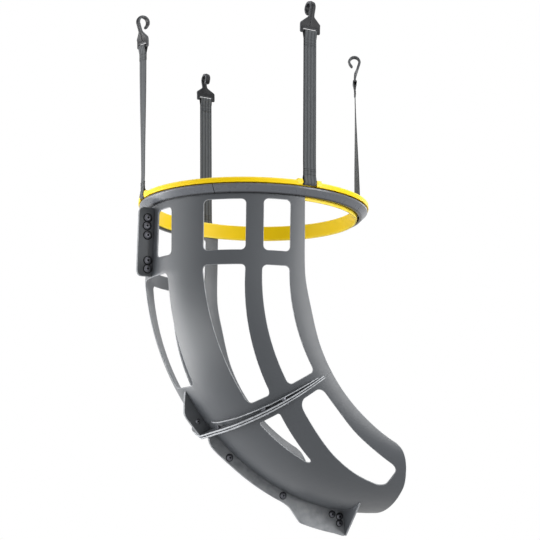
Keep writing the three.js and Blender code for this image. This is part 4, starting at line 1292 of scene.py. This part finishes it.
def nut_patch(point, axis, grip, size):
    """A hexagon with turned corners: the chamfer cuts the hexagon where a cone is smaller."""
    nut, thread = size["nut"], size["shank"]
    flat = hexagon(nut * math.sqrt(3))
    trimmed = np.minimum(flat, 0.93 * nut)
    near = -(grip + SEAT_LIFT)
    far = near - size["nut_height"]
    rings = [(thread * 0.9, near), (trimmed, near), (flat, near - 0.5), (flat, far + 0.6),
             (trimmed, far), (thread * 1.2, far), (thread * 0.9, far + 0.5)]
    return spindle(point, axis, rings)


print("a hexagon's radius goes from", round(hexagon(10.0).min(), 2), "to",
      round(hexagon(10.0).max(), 2), "mm for 10 mm across flats")

# %% [markdown]
# Each screw passes through both plates or both flanges, and its nut sits on the far side. Places
# on the tab and on the keel plates are shares of the plate, so they move with it. The gusset's
# screw is in the scene alone.

# %% Screws and nuts
STEEL_SMOOTH = math.radians(32)
RIGHTWARDS = np.array([0, -1.0, 0])
# Shares of (reach out of the wall, way down) on the tab, and of (run, depth) on the keel plate.
TAB_SHARES = [[0.42, 0.155], [0.45, 0.272], [0.39, 0.407], [0.32, 0.772], [0.32, 0.892]]
KEEL_SHARES = [[0.187, 0.215], [0.585, 0.18], [0.934, 0.2], [0.987, 0.235], [0.998, 0.497]]
SPLIT_TURNS = (14, 47, 60)
GUSSET_RUN, GUSSET_DEPTH = SPLIT - 17, 11
plate_grip = GAP + PLATE
screw_rows = []
for number, (reach, down) in enumerate(TAB_SHARES, 1):
    point = np.array([-RADIUS - TAB_REACH * reach, 0, TAB_TOP - TAB_HEIGHT * down])
    screw_rows.append(("rear_tab", TAB_SCREW, number, point, RIGHTWARDS, plate_grip))
for number, (along, depth) in enumerate(KEEL_SHARES, 1):
    point = chute(SPLIT + KEEL_RUN * along, 0, KEEL_DEPTH * depth, 1)
    screw_rows.append(("keel", KEEL_SCREW, number, point, RIGHTWARDS, plate_grip))
split_bend = (SPLIT - STRAIGHT) / BEND
split_axis = np.array([math.sin(split_bend), 0, -math.cos(split_bend)])
split_depth = RADIUS - (RADIUS - EXIT_DEPTH) * split_bend / BEND_SPAN
split_places = [(side, turn) for side in (-1, 1) for turn in SPLIT_TURNS]
for number, (side, turn) in enumerate(split_places, 1):
    lift = float(flange_reach(turn)) / 2
    distance = BEND + (split_depth + lift) * math.cos(math.radians(turn))
    split_grip = (GAP + FLANGE + FLANGE_GAP) * distance / BEND
    point = chute(SPLIT, turn, lift, side)
    screw_rows.append(("split_flange", SPLIT_SCREW, number, point, split_axis, split_grip))
point = chute(GUSSET_RUN, 0, GUSSET_DEPTH, 1)
screw_rows.append(("gusset", SPLIT_SCREW, 1, point, RIGHTWARDS, plate_grip))
for place, size, number, point, axis, grip in screw_rows:
    kinds = [("screw", screw(point, axis, grip, size)),
             ("nut", [nut_patch(point, axis, grip, size)])]
    for kind, patches in kinds:
        cad_name = f"{place}_{kind}_{number}"
        piece = make_piece(f"{cad_name}_steel", patches, dark_steel, "chute",
                           [cad_name] if cad_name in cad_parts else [],
                           smooth=STEEL_SMOOTH)
print("screws:", len(screw_rows))

# %% [markdown]
# The background is white where the camera or a reflection sees it, and adds little light, so the
# object keeps its own colours. The floor lies 2.7 m below the ring, as it does under a real hoop.
# It is matt paper with a share of glow, and the matt part keeps the object's shadow.

# %% Floor and background
PAPER_GLOW = 0.74
FLOOR_RADIUS, FLOOR_HEIGHT = 14.0, -2.7
FILL_LIGHT = 0.2
WHITE = linear("#ffffff")


def seen_rays(tree):
    """1 for the camera's rays, in reflections and through clear parts, and 0 for all other light:
    the largest of the three."""
    rays = node(tree, "ShaderNodeLightPath").outputs
    direct = node(tree, "ShaderNodeMath", {0: rays["Is Camera Ray"], 1: rays["Is Glossy Ray"]},
                  operation="MAXIMUM")
    return node(tree, "ShaderNodeMath", {0: direct.outputs[0], 1: rays["Is Transmission Ray"]},
                operation="MAXIMUM").outputs[0]


paper = bpy.data.materials.new("studio_floor_paper")
paper.use_nodes = True
paper_tree = paper.node_tree
paper_tree.nodes.clear()
glow_share = node(paper_tree, "ShaderNodeMath", {0: seen_rays(paper_tree), 1: PAPER_GLOW},
                  operation="MULTIPLY")
matt = node(paper_tree, "ShaderNodeBsdfDiffuse", {"Color": linear("#d4d4d4")})
glow = node(paper_tree, "ShaderNodeEmission", {"Color": WHITE, "Strength": 1.0})
paper_mix = node(paper_tree, "ShaderNodeMixShader", {0: glow_share.outputs[0],
                                                     1: matt.outputs[0], 2: glow.outputs[0]})
node(paper_tree, "ShaderNodeOutputMaterial", {0: paper_mix.outputs[0]})

floor_turn = np.linspace(0, 2 * math.pi, 96, endpoint=False)
floor_rim = np.stack([FLOOR_RADIUS * np.cos(floor_turn), FLOOR_RADIUS * np.sin(floor_turn),
                      FLOOR_HEIGHT + 0 * floor_turn], 1)
floor_mesh = bpy.data.meshes.new("floor")
floor_mesh.from_pydata(floor_rim.tolist(), [], [list(range(len(floor_rim)))])
floor_mesh.materials.append(paper)
floor = bpy.data.objects.new("floor", floor_mesh)
bpy.context.scene.collection.objects.link(floor)

world = bpy.data.worlds.new("studio")
bpy.context.scene.world = world
world.use_nodes = True
sky = world.node_tree
sky.nodes.clear()
fill = node(sky, "ShaderNodeBackground", {"Color": WHITE, "Strength": FILL_LIGHT})
white = node(sky, "ShaderNodeBackground", {"Color": WHITE, "Strength": 1.0})
sky_mix = node(sky, "ShaderNodeMixShader", {0: seen_rays(sky), 1: fill.outputs[0],
                                            2: white.outputs[0]})
node(sky, "ShaderNodeOutputWorld", {0: sky_mix.outputs[0]})
print("floor:", FLOOR_RADIUS, "m in radius at", FLOOR_HEIGHT, "m")

# %% [markdown]
# The photograph is lit like a catalogue picture: a large soft light behind the left side and
# another in front of the right side, so the walls that face the camera stay darkest. Smaller ones
# fill in. Each lamp is a row: its two angles in degrees, its distance, width and height in metres,
# and its watts.

# %% Lamps
LAMPS = {
    "rear_left_softbox": (140, -10, 3.0, 1.8, 2.0, 106),
    "front_right_softbox": (-54, 7, 3.1, 1.4, 1.5, 78),
    "side_softbox": (-95, 5, 3.0, 1.5, 1.5, 11),
    "left_low_softbox": (178, -20, 2.4, 1.8, 0.7, 22),
    "left_high_softbox": (166, 14, 3.2, 1.8, 1.2, 12),
    "top_softbox": (-60, 80, 3.0, 1.8, 1.8, 46),
    "front_softbox": (28, 18, 3.2, 1.6, 1.6, 10),
}
AIM = Vector((0, 0, -0.25))


def soft_light(name, azimuth, elevation, distance, width, height, watts):
    """A rectangular area light that faces a point inside the chute, from the direction that the
    two angles give."""
    data = bpy.data.lights.new(name, "AREA")
    data.shape = "RECTANGLE"
    data.size, data.size_y = width, height
    data.energy = watts
    lamp = bpy.data.objects.new(name, data)
    lamp.visible_camera = False
    around, above = math.radians(azimuth), math.radians(elevation)
    way = Vector((math.cos(around) * math.cos(above), math.sin(around) * math.cos(above),
                  math.sin(above)))
    turn = way.to_track_quat("Z", "Y")
    lamp.matrix_world = Matrix.LocRotScale(AIM + way * distance, turn, None)
    bpy.context.scene.collection.objects.link(lamp)


for name, settings in LAMPS.items():
    soft_light(name, *settings)
bpy.context.scene.view_settings.view_transform = "Standard"
print("lamps:", len(LAMPS), "with", sum(row[-1] for row in LAMPS.values()), "W in all")
